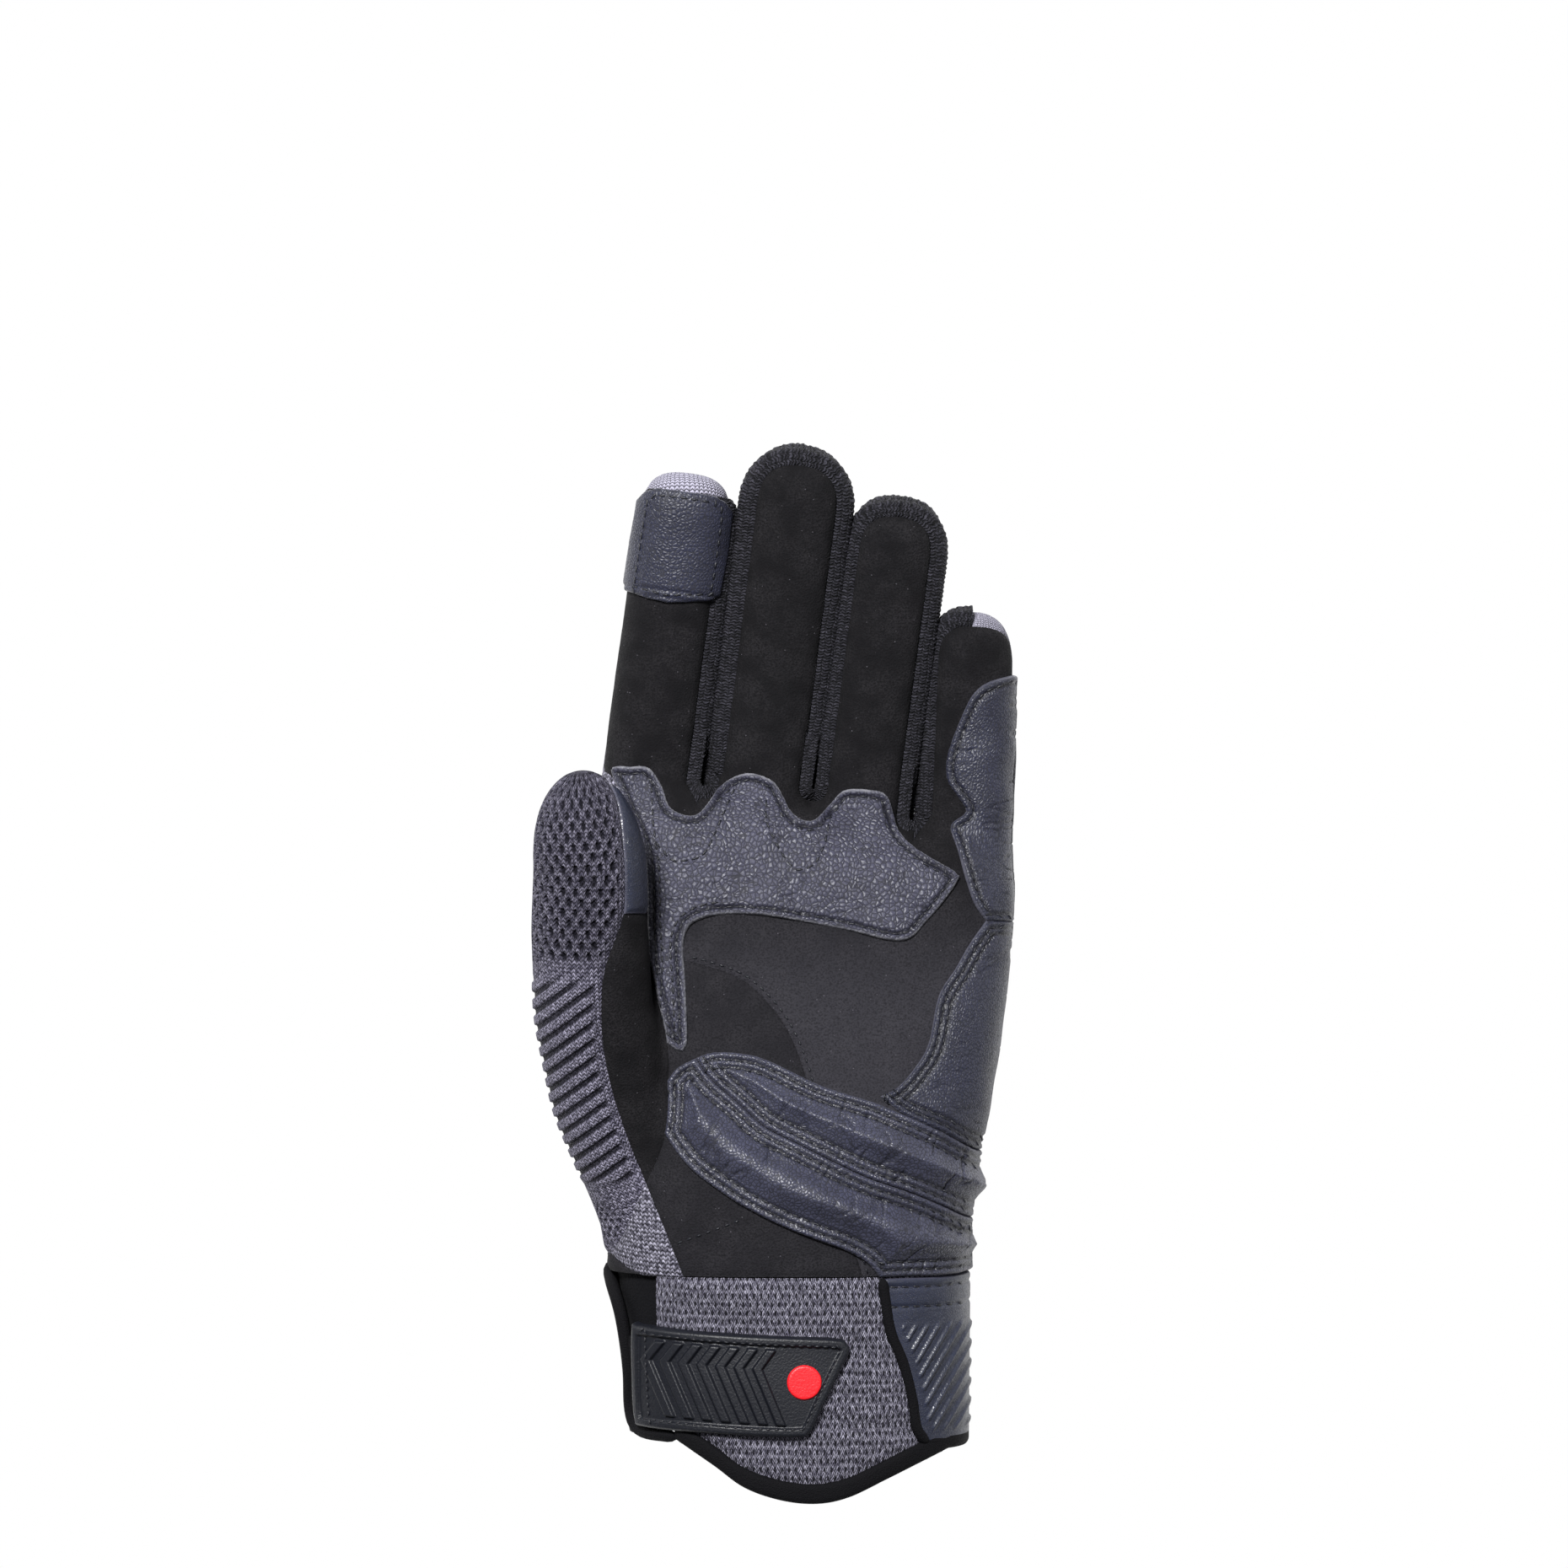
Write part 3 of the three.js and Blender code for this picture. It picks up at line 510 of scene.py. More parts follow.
def knit_loops():
    """Columns of V-shaped stitches. Height is the yarn, Gap the painted shade between loops."""
    sizes = {"Column": 1.4, "Row": 1.1, "Slope": 0.5, "Hole Column": 1.6, "Hole Row": 4.0}
    g, given, ending = node_group("knit loops", sizes, ["Height", "Gap", "Hole"])
    parts = g.node("SeparateXYZ")
    g.plug(given["Place"], parts.inputs[0])
    wobble = g.band(g.noise(given["Place"], 0.25), 0.2, 0.8, -0.25, 0.25)
    column = g.math("FRACT", g.math("DIVIDE", g.math("ADD", parts.outputs[0], wobble),
                                    given["Column"]))
    side = g.math("ABSOLUTE", g.math("SUBTRACT", g.math("MULTIPLY", column, 2.0), 1.0))
    lifted = g.math("ADD", g.math("DIVIDE", parts.outputs[1], given["Row"]),
                    g.math("MULTIPLY", side, given["Slope"]))
    strand = g.math("ABSOLUTE", g.math("SINE", g.math("MULTIPLY", lifted, math.pi)))
    outer = g.math("SUBTRACT", 1.0, g.math("MULTIPLY", g.math("POWER", side, 4.0), 0.8))
    height = g.math("MULTIPLY", strand, outer)
    g.plug(height, ending.inputs["Height"])
    g.plug(g.band(height, 0.15, 0.5, 1.0, 0.0), ending.inputs["Gap"])
    waves = [g.math("COSINE", g.math("DIVIDE", g.math("MULTIPLY", part, 2 * math.pi), size))
             for part, size in ((parts.outputs[0], given["Hole Column"]),
                                (parts.outputs[1], given["Hole Row"]))]
    g.plug(g.band(g.math("MULTIPLY", *waves), 0.35, 0.75), ending.inputs["Hole"])
    return g.tree


def leather_grain():
    """Rounded pebbles with fine creases between them."""
    g, given, ending = node_group("leather grain", {"Size": 0.8}, ["Height", "Crease"])
    bend = g.node("TexNoise")
    g.plug(given["Place"], bend.inputs["Vector"])
    bend.inputs["Scale"].default_value = 0.5
    moved = g.node("VectorMath", operation="MULTIPLY_ADD")
    g.plug(bend.outputs["Color"], moved.inputs[0])
    moved.inputs[1].default_value = (0.9, 0.9, 0.9)
    g.plug(given["Place"], moved.inputs[2])
    cells = g.node("TexVoronoi", feature="DISTANCE_TO_EDGE")
    g.plug(moved.outputs[0], cells.inputs["Vector"])
    g.plug(g.math("DIVIDE", 1.0, given["Size"]), cells.inputs["Scale"])
    pebble = g.band(cells.outputs["Distance"], -0.1, 0.5)
    fine = g.noise(given["Place"], 2.5, 3.0)
    g.plug(g.math("ADD", pebble, g.math("MULTIPLY", fine, 0.12)), ending.inputs["Height"])
    g.plug(g.band(cells.outputs["Distance"], 0.02, 0.14, 1.0, 0.0), ending.inputs["Crease"])
    return g.tree


def suede_nap():
    """Short brushed fibres in soft patches, with a few pale flecks of lint."""
    g, given, ending = node_group("suede nap", {"Patch": 6.0}, ["Height", "Shade", "Fleck"])
    fibres = g.noise(given["Place"], 2.2, 4.0)
    patches = g.noise(given["Place"], g.math("DIVIDE", 1.0, given["Patch"]), 3.0)
    g.plug(fibres, ending.inputs["Height"])
    g.plug(g.math("MULTIPLY", g.band(patches, 0.3, 0.7), g.band(fibres, 0.3, 0.7)),
           ending.inputs["Shade"])
    specks = g.node("TexVoronoi")
    g.plug(given["Place"], specks.inputs["Vector"])
    specks.inputs["Scale"].default_value = 0.62
    near = g.band(specks.outputs["Distance"], 0.06, 0.11, 1.0, 0.0)
    chosen = g.band(g.noise(given["Place"], 0.9, 0.0), 0.55, 0.6)
    g.plug(g.math("MULTIPLY", near, chosen), ending.inputs["Fleck"])
    return g.tree


def edge_wear():
    """A pale rim where a panel's edge is rubbed. Edge is the distance to it in millimetres."""
    g, given, ending = node_group("edge wear", {"Edge": 1.0, "Width": 0.6}, ["Mask"])
    uneven = g.band(g.noise(given["Place"], 0.35, 3.0), 0.35, 0.7, 0.5, 1.0)
    rim = g.band(g.math("DIVIDE", given["Edge"], given["Width"]), 0.2, 1.0, 1.0, 0.0)
    g.plug(g.math("MULTIPLY", rim, uneven), ending.inputs["Mask"])
    return g.tree


KNIT = knit_loops()
GRAIN = leather_grain()
NAP = suede_nap()
WEAR = edge_wear()
print("patterns:", [tree.name for tree in bpy.data.node_groups])

# %% Materials


def colour(red, green, blue):
    return (red, green, blue, 1.0)


class Finish(Graph):
    """A material whose patterns lie on the flat panel, in millimetres."""

    def __init__(self, name, roughness, flat=True):
        self.material = bpy.data.materials.new(name)
        self.material.use_nodes = True
        super().__init__(self.material.node_tree)
        self.shader = self.tree.nodes["Principled BSDF"]
        self.shader.inputs["Roughness"].default_value = roughness
        if flat:
            self.place = self.node("UVMap", uv_map="flat").outputs[0]
        else:
            scaled = self.node("VectorMath", operation="SCALE")
            self.plug(self.node("TexCoord").outputs["Object"], scaled.inputs[0])
            scaled.inputs["Scale"].default_value = 1 / MM
            self.place = scaled.outputs[0]

    def mark(self, name):
        return self.node("Attribute", attribute_name=name).outputs["Fac"]

    def pattern(self, tree, **sizes):
        made = self.tree.nodes.new("ShaderNodeGroup")
        made.node_tree = tree
        self.plug(self.place, made.inputs["Place"])
        for key, value in sizes.items():
            self.plug(value, made.inputs[key])
        return made.outputs

    def bump(self, height, depth):
        """Depth is in millimetres."""
        made = self.node("Bump")
        made.inputs["Distance"].default_value = depth * MM
        self.plug(height, made.inputs["Height"])
        self.plug(made.outputs[0], self.shader.inputs["Normal"])

    def colour(self, value):
        self.plug(value, self.shader.inputs["Base Color"])
        return self.material


def knit_finish(name, yarn, light, gap, column, row, slope=0.5, depth=0.35, holes=0.0):
    """Knitted cloth. Panels mark painted shade, painted highlights and paler yarn."""
    f = Finish(name, 0.85)
    f.shader.inputs["Specular IOR Level"].default_value = 0.2
    loops = f.pattern(KNIT, Column=column, Row=row, Slope=slope)
    patches = f.band(f.noise(f.place, 0.9, 3.0), 0.35, 0.7)
    shade = f.mix(patches, colour(*yarn), colour(*light))
    # Painted highlight where a panel marks ridges and row crests; elsewhere the same mark is paler
    # yarn.
    shade = f.mix(f.mark("highlight_and_pale"), shade, colour(*light))
    # Painted shade: gaps between loops, holes and marked grooves take the gap colour.
    shade = f.mix(f.math("MULTIPLY", loops["Gap"], 0.85), shade, colour(*gap))
    if holes:
        shade = f.mix(f.math("MULTIPLY", loops["Hole"], holes), shade, colour(*gap))
    shade = f.mix(f.mark("painted_shade"), shade, colour(*gap))
    f.bump(loops["Height"], depth)
    return f.colour(shade)


def leather_finish(name, base, crease, rim, size, roughness, depth, wear=0.6, shine=0.42):
    """Grained leather. Panels mark the painted shade in stitch furrows and creases."""
    f = Finish(name, roughness)
    f.shader.inputs["Specular IOR Level"].default_value = shine
    grain = f.pattern(GRAIN, Size=size)
    worn = f.pattern(WEAR, Edge=f.mark("edge"), Width=wear)
    patches = f.band(f.noise(f.place, 0.12, 3.0), 0.3, 0.75)
    lighter = tuple(1.35 * c for c in base)
    shade = f.mix(patches, colour(*base), colour(*lighter))
    # Painted shade: the grain's creases and the marked furrows take the crease colour.
    shade = f.mix(f.math("MULTIPLY", grain["Crease"], 0.8), shade, colour(*crease))
    shade = f.mix(f.mark("painted_shade"), shade, colour(*crease))
    shade = f.mix(worn["Mask"], shade, colour(*rim))
    f.plug(f.band(grain["Crease"], 0.0, 1.0, roughness, min(1.0, roughness + 0.25)),
           f.shader.inputs["Roughness"])
    f.bump(grain["Height"], depth)
    return f.colour(shade)


def suede_finish():
    """Suede. Panels mark where the nap is paler."""
    f = Finish("suede", 0.95, flat=False)
    f.shader.inputs["Specular IOR Level"].default_value = 0.15
    nap = f.pattern(NAP, Patch=7.0)
    shade = f.mix(nap["Shade"], colour(0.0025, 0.0023, 0.003), colour(0.0105, 0.0098, 0.0112))
    # Paler nap where a panel marks it, on the high fibres.
    paler_nap = f.math("MULTIPLY", f.mark("highlight_and_pale"), f.band(nap["Height"], 0.3, 0.6, 0.5, 1.0))
    shade = f.mix(paler_nap, shade, colour(0.031, 0.030, 0.037))
    shade = f.mix(f.math("MULTIPLY", nap["Fleck"], 0.5), shade, colour(0.09, 0.085, 0.10))
    f.bump(nap["Height"], 0.35)
    return f.colour(shade)


def plain_finish(name, base, roughness, grain=2.0, depth=0.03, shine=0.4):
    f = Finish(name, roughness, flat=False)
    f.shader.inputs["Specular IOR Level"].default_value = shine
    uneven = f.band(f.noise(f.place, grain, 2.0), 0.3, 0.7)
    darker = tuple(0.8 * c for c in base)
    f.bump(uneven, depth)
    return f.colour(f.mix(uneven, colour(*darker), colour(*base)))


grey_knit = knit_finish("grey knit", (0.042, 0.039, 0.061), (0.20, 0.19, 0.25),
                        (0.004, 0.0035, 0.008), 1.15, 0.95, slope=0.7)
cuff_knit = knit_finish("cuff knit", (0.085, 0.08, 0.115), (0.34, 0.33, 0.41),
                        (0.005, 0.0045, 0.009), 1.05, 1.15, slope=1.2, depth=0.6, holes=0.95)
back_knit = knit_finish("back knit", (0.035, 0.033, 0.048), (0.30, 0.29, 0.36),
                        (0.004, 0.004, 0.007), 1.2, 1.0)
black_knit = knit_finish("black knit", (0.005, 0.005, 0.0075), (0.028, 0.027, 0.036),
                         (0.001, 0.001, 0.0017), 0.8, 0.7, depth=0.5)
suede = suede_finish()
navy_leather = leather_finish("navy leather", (0.011, 0.012, 0.024), (0.003, 0.003, 0.006),
                              (0.07, 0.07, 0.09), 0.85, 0.45, 0.11, wear=0.35, shine=0.36)
heel_leather = leather_finish("soft navy leather", (0.025, 0.026, 0.044), (0.003, 0.003, 0.006),
                              (0.07, 0.07, 0.09), 0.85, 0.42, 0.11, wear=0.4, shine=0.42)
pebbled_leather = leather_finish("pebbled leather", (0.031, 0.031, 0.047),
                                 (0.002, 0.002, 0.005), (0.16, 0.16, 0.18), 1.1, 0.43, 0.19,
                                 wear=0.7, shine=0.25)
smooth_leather = leather_finish("smooth navy leather", (0.010, 0.0125, 0.026),
                                (0.006, 0.007, 0.014), (0.04, 0.04, 0.06), 0.5, 0.34, 0.05)
rubber = plain_finish("moulded rubber", (0.0045, 0.0052, 0.0085), 0.45, shine=0.3)
red_rubber = plain_finish("red rubber", (0.70, 0.008, 0.014), 0.4)
binding = plain_finish("black binding", (0.0022, 0.0021, 0.003), 0.8, 3.0, 0.1, 0.1)
thread = plain_finish("sewing thread", (0.003, 0.0034, 0.007), 0.5, 4.0)
lining = plain_finish("black lining", (0.003, 0.003, 0.004), 0.95, 2.0, 0.1, 0.1)
print("materials:", len(bpy.data.materials))


# %% [markdown]
# ## Cutting panels out of the skin
# A panel is the part of the skin inside an outline, like a pattern piece. The outline stands up
# as a prism, the prism and the skin are intersected, and only the faces of the skin are kept.
# A real panel has a thickness: its middle is raised, its edge is turned down in a curve, and a
# short skirt closes it towards the hand. The distance of every point to the nearest edge drives
# the rounded edge, the furrow along a stitch line and the worn rim of the finish.

# %% Prisms and cuts
FAR = 200.0
BELOW_GLOVE = -40.0
ABOVE_GLOVE = 120.0


def runs_left(outline):
    """Whether an outline runs counterclockwise."""
    p = np.array(outline)
    q = np.roll(p, 1, 0)
    return (q[:, 0] * p[:, 1] - p[:, 0] * q[:, 1]).sum() > 0


def prism(outline, low=BELOW_GLOVE, high=ABOVE_GLOVE):
    """Vertices and faces of the solid that stands on an outline."""
    points = [(x, y, low) for x, y in outline] + [(x, y, high) for x, y in outline]
    n = len(outline)
    order = list(range(n)) if runs_left(outline) else list(range(n))[::-1]
    walls = [(a, b, b + n, a + n) for a, b in zip(order[-1:] + order[:-1], order)]
    return points, [tuple(order[::-1]), tuple(i + n for i in order)] + walls


def slab(low, high):
    return prism([(-FAR, low), (FAR, low), (FAR, high), (-FAR, high)])


def cut_mesh(first, *steps):
    """A mesh after joins, cuts and intersections with solids, one by one."""
    if isinstance(first, bpy.types.Mesh):
        base = in_scene("base", first)
    else:
        base = new_object("base", *first)
    helpers = []
    for operation, other in steps:
        helper = new_object("helper", *other, kind=1)
        step = base.modifiers.new(operation, "BOOLEAN")
        step.operation = operation
        step.solver = "MANIFOLD"
        step.object = helper
        helpers.append(helper)
    return baked(base, *helpers)


def combined(first, *steps):
    """Points and faces of a solid after joins, cuts and intersections."""
    return points_and_faces(cut_mesh(first, *steps))


def kd_tree(points):
    """A tree that finds the nearest of the points."""
    tree = KDTree(len(points))
    for i, p in enumerate(points):
        tree.insert(p, i)
    tree.balance()
    return tree


def rounded(points, spacing=1.0, closed=True):
    """A smooth line through a few points, as points about one spacing apart."""
    known = np.array(points, float)
    if closed:
        known = np.vstack([known[-2:], known, known[:3]])
    else:
        known = np.vstack([2 * known[:1] - known[1:2], known, 2 * known[-1:] - known[-2:-1]])
    line = []
    last = len(known) - (3 if closed else 2)
    for i in range(2 if closed else 1, last):
        p0, p1, p2, p3 = known[i - 1], known[i], known[i + 1], known[i + 2]
        for t in np.linspace(0, 1, max(2, int(np.linalg.norm(p2 - p1) / spacing)), endpoint=False):
            line.append(0.5 * (2 * p1 + (p2 - p0) * t + (2 * p0 - 5 * p1 + 4 * p2 - p3) * t * t
                               + (3 * p1 - p0 - 3 * p2 + p3) * t ** 3))
    if not closed:
        line.append(known[-2])
    return [tuple(p) for p in line]


def inset(line, distance, closed=True):
    """A line moved to its left by a distance."""
    p = np.array(line)
    before, after = np.roll(p, 1, 0), np.roll(p, -1, 0)
    if not closed:
        before[0], after[-1] = p[0], p[-1]
    along = after - before
    along /= np.linalg.norm(along, axis=1)[:, None] + 1e-9
    return [tuple(q) for q in p + distance * np.column_stack([-along[:, 1], along[:, 0]])]


print("cutting tools are ready")

# %% A panel from a cut


class Panel:
    """Points of the skin inside a solid, with normals and the distance to the panel's edge."""

    def __init__(self, skin, *steps, finer=0):
        mesh = cut_mesh(skin, *steps)
        points, faces = points_and_faces(mesh)
        kept = [f for f, p in zip(faces, mesh.polygons) if p.material_index == 0]
        bm = bmesh.new()
        used = sorted({i for face in kept for i in face})
        verts = {i: bm.verts.new(points[i]) for i in used}
        for face in kept:
            bm.faces.new([verts[i] for i in face])
        bmesh.ops.remove_doubles(bm, verts=bm.verts, dist=0.06)
        bmesh.ops.dissolve_degenerate(bm, edges=bm.edges, dist=0.04)
        for _ in range(finer):
            bmesh.ops.triangulate(bm, faces=[f for f in bm.faces if len(f.verts) > 4])
            bmesh.ops.subdivide_edges(bm, edges=bm.edges, cuts=1, use_grid_fill=True)
        bmesh.ops.delete(bm, geom=[v for v in bm.verts if not v.link_faces], context="VERTS")
        bm.normal_update()
        bm.verts.index_update()
        self.bm = bm
        self.points = np.array([v.co[:] for v in bm.verts])
        self.normals = np.array([skin_normals[skin_kd.find(v.co)[1]] for v in bm.verts])
        rim = [e for e in bm.edges if len(e.link_faces) == 1]
        samples = []
        for e in rim:
            a, b = e.verts[0].co, e.verts[1].co
            for t in np.linspace(0, 1, max(2, int((b - a).length / 0.3) + 1)):
                samples.append(a.lerp(b, t))
        tree = kd_tree(samples)
        self.edge = np.array([tree.find(v.co)[2] for v in bm.verts])

    def finish(self, name, height, material, slot, replaces=(), skirt=1.8, flat=None,
               painted_shade=None, highlight_and_pale=None):
        """Raises the points by a height each, closes the edge and makes the piece."""
        bm = self.bm
        moved = self.points + self.normals * height[:, None]
        moved[:, 2] = np.maximum(moved[:, 2], 0.02)
        for v, p in zip(bm.verts, moved):
            v.co = p
        uv = bm.loops.layers.uv.new("flat")
        if flat is None:
            flat = unrolled(self.points, self.normals)
        # The marks carry painted shade, and painted highlights together with paler tone, to the
        # finishes.
        marks = {"edge": self.edge, "painted_shade": painted_shade, "highlight_and_pale": highlight_and_pale}
        for label, values in marks.items():
            if values is not None:
                layer = bm.verts.layers.float.new(label)
                for v in bm.verts:
                    v[layer] = values[v.index]
        for face in bm.faces:
            for loop in face.loops:
                loop[uv].uv = flat[loop.vert.index]
        rim = [e for e in bm.edges if len(e.link_faces) == 1]
        normals = {v: Vector(self.normals[v.index]) for e in rim for v in e.verts}
        grown = bmesh.ops.extrude_edge_only(bm, edges=rim)
        for v in (g for g in grown["geom"] if isinstance(g, bmesh.types.BMVert)):
            source = next(e.other_vert(v) for e in v.link_edges if e.other_vert(v) in normals)
            v.co = v.co - normals[source] * skirt
        bmesh.ops.triangulate(bm, faces=[f for f in bm.faces if len(f.verts) > 4])
        bmesh.ops.recalc_face_normals(bm, faces=bm.faces)
        self.tree = BVHTree.FromBMesh(bm)
        return placed(bm, name, material, replaces)


triangles = {}


def placed(bm, name, material, replaces=()):
    """Moves a mesh from the wrist seam's millimetres to the frame's metres, as a finished piece."""
    for v in bm.verts:
        v.co = (Vector((*WRIST_SEAM, 0)) + v.co) * MM
    for face in bm.faces:
        face.smooth = True
    mesh = bpy.data.meshes.new(name)
    bm.to_mesh(mesh)
    bm.free()
    mesh.materials.append(material)
    made = in_scene(name, mesh)
    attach(made, "root")
    if replaces:
        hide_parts(*replaces)
    triangles[name] = sum(len(p.vertices) - 2 for p in mesh.polygons)
    print(f"{name}: {triangles[name]} triangles")
    return made


def unrolled(points, normals):
    """Flat coordinates in millimetres: sides and tips are laid out beside the hand's front."""
    top = np.interp(points[:, 1], [60, 105, 190], [41, 23, 31])
    return points[:, :2] + normals[:, :2] * (top - points[:, 2])[:, None]


def point_normals(points, faces):
    normals = np.zeros_like(points)
    for size in (3, 4):
        some = np.array([f for f in faces if len(f) == size])
        if len(some):
            across = np.cross(points[some[:, 1]] - points[some[:, 0]],
                              points[some[:, 2]] - points[some[:, 0]])
            for k in range(size):
                np.add.at(normals, some[:, k], across)
    return normals / (np.linalg.norm(normals, axis=1)[:, None] + 1e-12)


skin_normals = point_normals(skin_points, skin_faces)
skin_kd = kd_tree(skin_points)
print("panel tools are ready")


# %% [markdown]
# ## The pattern pieces
# The outlines are seen from above, as on a flat pattern. Each point is a share of the palm's
# width to the side, and a share of the palm's length above the wrist seam or of the cuff's
# length below it. They are the outlines that the CAD pieces have, so both models line up.

# %% Outlines
FAR_SIDE = 0.75
CRESCENT = [(-0.27, 0.671), (-0.21, 0.656), (-0.145, 0.633), (-0.088, 0.589), (-0.039, 0.529),
            (0.002, 0.44), (0.06, 0.25), (0.14, 0.002)]
PALM = [(0.14, 0.002), (FAR_SIDE, 0.002), (FAR_SIDE, 0.93), (0.52, 0.915), (-0.52, 0.985),
        (-FAR_SIDE, 1.0), (-FAR_SIDE, 0.671)]
KNIT_EDGE = [(-0.504, 1.09), (-0.462, 1.071), (-0.438, 1.042), (-0.422, 0.998), (-0.414, 0.931),
             (-0.41, 0.849), (-0.414, 0.775), (-0.431, 0.73), (-0.456, 0.671), (-0.468, 0.611),
             (-0.468, 0.515), (-0.451, 0.415), (-0.414, 0.304), (-0.374, 0.207), (-0.333, 0.118),
             (-0.3, 0.044), (-0.28, -0.01)]
KNIT_FAR = [(-0.36, -0.02), (-0.42, 0.015), (-0.46, 0.04), (-0.484, 0.03), (-FAR_SIDE, 0.02),
            (-FAR_SIDE, 1.12)]
REINFORCEMENT = [
    (-0.452, 1.083), (-0.41, 1.09), (-0.366, 1.087), (-0.335, 1.045), (-0.312, 0.998),
    (-0.256, 0.984), (-0.206, 1.033), (-0.168, 1.066), (-0.12, 1.076), (-0.064, 1.053),
    (-0.031, 0.99), (0.018, 0.969), (0.06, 0.999), (0.098, 1.038), (0.157, 1.04), (0.2, 1.026),
    (0.222, 0.956), (0.28, 0.904), (0.361, 0.86), (0.362, 0.836), (0.296, 0.76), (0.23, 0.715),
    (0.084, 0.742), (-0.112, 0.771), (-0.235, 0.764), (-0.28, 0.722), (-0.276, 0.611),
    (-0.274, 0.493), (-0.308, 0.489), (-0.362, 0.552), (-0.362, 0.671), (-0.367, 0.745),
    (-0.375, 0.9), (-0.42, 1.0)]
HEEL_END = (-0.252, 0.466)
HEEL_SEAM = [HEEL_END, (-0.215, 0.42), (-0.145, 0.364), (-0.088, 0.319), (-0.006, 0.282),
             (0.076, 0.245), (0.157, 0.211), (0.238, 0.185), (0.32, 0.152), (0.47, 0.08),
             (0.6, 0.05)]
HEEL_TOP = [HEEL_END, (-0.21, 0.478), (-0.145, 0.475), (-0.08, 0.46), (0.034, 0.411),
            (0.132, 0.382), (0.182, 0.367), (0.238, 0.345), (0.32, 0.311), (0.442, 0.253),
            (0.6, 0.24)]
HEEL_LOW = [HEEL_END, (-0.3, 0.44), (-0.341, 0.378), (-0.333, 0.326), (-0.308, 0.282),
            (-0.26, 0.23), (-0.194, 0.185), (-0.129, 0.148), (-0.047, 0.111), (0.034, 0.082),
            (0.1, 0.059), (0.149, 0.033), (0.178, 0.002)]
EDGE_LINE = [(0.434, 0.757), (0.394, 0.707), (0.361, 0.656), (0.32, 0.596), (0.296, 0.497),
             (0.263, 0.445), (0.222, 0.404), (0.182, 0.385), (0.238, 0.345), (0.32, 0.311),
             (0.442, 0.253), (0.6, 0.24)]
LITTLE = [(0.508, 1.291), (0.442, 1.273), (0.41, 1.251), (0.386, 1.213), (0.349, 1.124),
          (0.345, 1.064), (0.369, 1.027), (0.39, 0.993), (0.361, 0.971), (0.353, 0.953),
          (0.369, 0.908), (0.386, 0.849), (0.406, 0.796), (0.434, 0.757)]
HEM_ROWS = [(-0.3, -1.0), (-0.21, -1.16), (-0.136, -1.3), (-0.048, -1.38), (0.034, -1.4),
            (0.108, -1.36), (0.197, -1.25), (0.27, -1.16), (0.34, -1.08)]
FOLD = [(-0.484, 0.02), (-0.462, -0.06), (-0.444, -0.2), (-0.43, -0.4), (-0.4, -0.42),
        (-0.385, -0.9), (-0.36, -1.01)]
CUFF_SIDE = [(0.186, -0.004), (0.204, -0.32), (0.234, -0.52), (0.256, -0.75), (0.267, -0.94),
             (0.293, -1.03), (0.6, -1.01), (0.6, -0.004)]
SIDE_SEAM = [(-3, 0.44), (0, 0.44), (0.4, 0.4), (0.7, 0.33), (0.95, 0.25)]
SLIT_SIDE = -0.344
HEM_BAND = 4.6
STRIP_EDGE = 3.6  # width of the knit beside a finger's suede
TIP_EDGE = 4.4
SEAM_FLARE = 1.0
THUMB_PAD_ALONG = 0.778
CROTCHES = {"index_middle": (-23.3, 110.9), "middle_ring": (2.5, 110.2),
            "ring_little": (25.5, 103.4)}
CROTCH_HALF = 3.2
CROTCH_LENGTH = 13


def strip_outline(name, outer_side=0):
    """The suede strip on the palm side of a finger."""
    length, width, blunt = (FINGERS[name][k] for k in (3, 4, 7))
    half = width / 2
    inner = half - STRIP_EDGE
    end = length - TIP_EDGE
    square = [(1, 1), (0, 1)]
    turn = np.linspace(0, np.pi / 2, 9)
    tip = square if blunt >= 3 else [(math.cos(t) ** 0.8, math.sin(t) ** 0.8) for t in turn]
    past = half + 20

    def side_of(sign):
        is_outer = sign == outer_side
        reach = past if is_outer else inner
        crotch = past if is_outer else half + SEAM_FLARE
        root = [(half, -FINGER_ROOT), (crotch, -2.6), (reach, 4.4)]
        if is_outer and tip is not square:
            root.append((reach, end - inner))
            reach = half
        return [(sign * a, b) for a, b in
                root + [(u * reach, end - inner * (1 - v)) for u, v in tip]]

    left = side_of(-1)
    right = side_of(1)[::-1][1:]
    return [on_finger(name, a, b) for a, b in left + right]


def crotch_slot(x, y):
    """The opening of the suede between two fingers: round below and open towards the tips."""
    centre = y + CROTCH_HALF
    lean = 1.7
    low = [(x + CROTCH_HALF * math.cos(t), centre + CROTCH_HALF * math.sin(t))
           for t in np.linspace(np.pi, 2 * np.pi, 13)]
    return low + [(x + lean + sign * CROTCH_HALF, centre + CROTCH_LENGTH) for sign in (1, -1)]


STRIPS = {"index": strip_outline("index", -1), "middle": strip_outline("middle"),
          "ring": strip_outline("ring"), "little": strip_outline("little", 1)}


def soft(rows, spacing=1.0, closed=False):
    """A smooth line in millimetres through points given as shares of the palm."""
    return rounded(spots(rows), spacing, closed)


def hem_line(raise_by):
    """The lower edge of the cuff's front, or a line above it."""
    return rounded([(side * PALM_WIDTH, -CUFF_LENGTH - (-along - 1) / 0.4 * HEM_DROP + raise_by)
                    for side, along in HEM_ROWS], 1.0, closed=False)


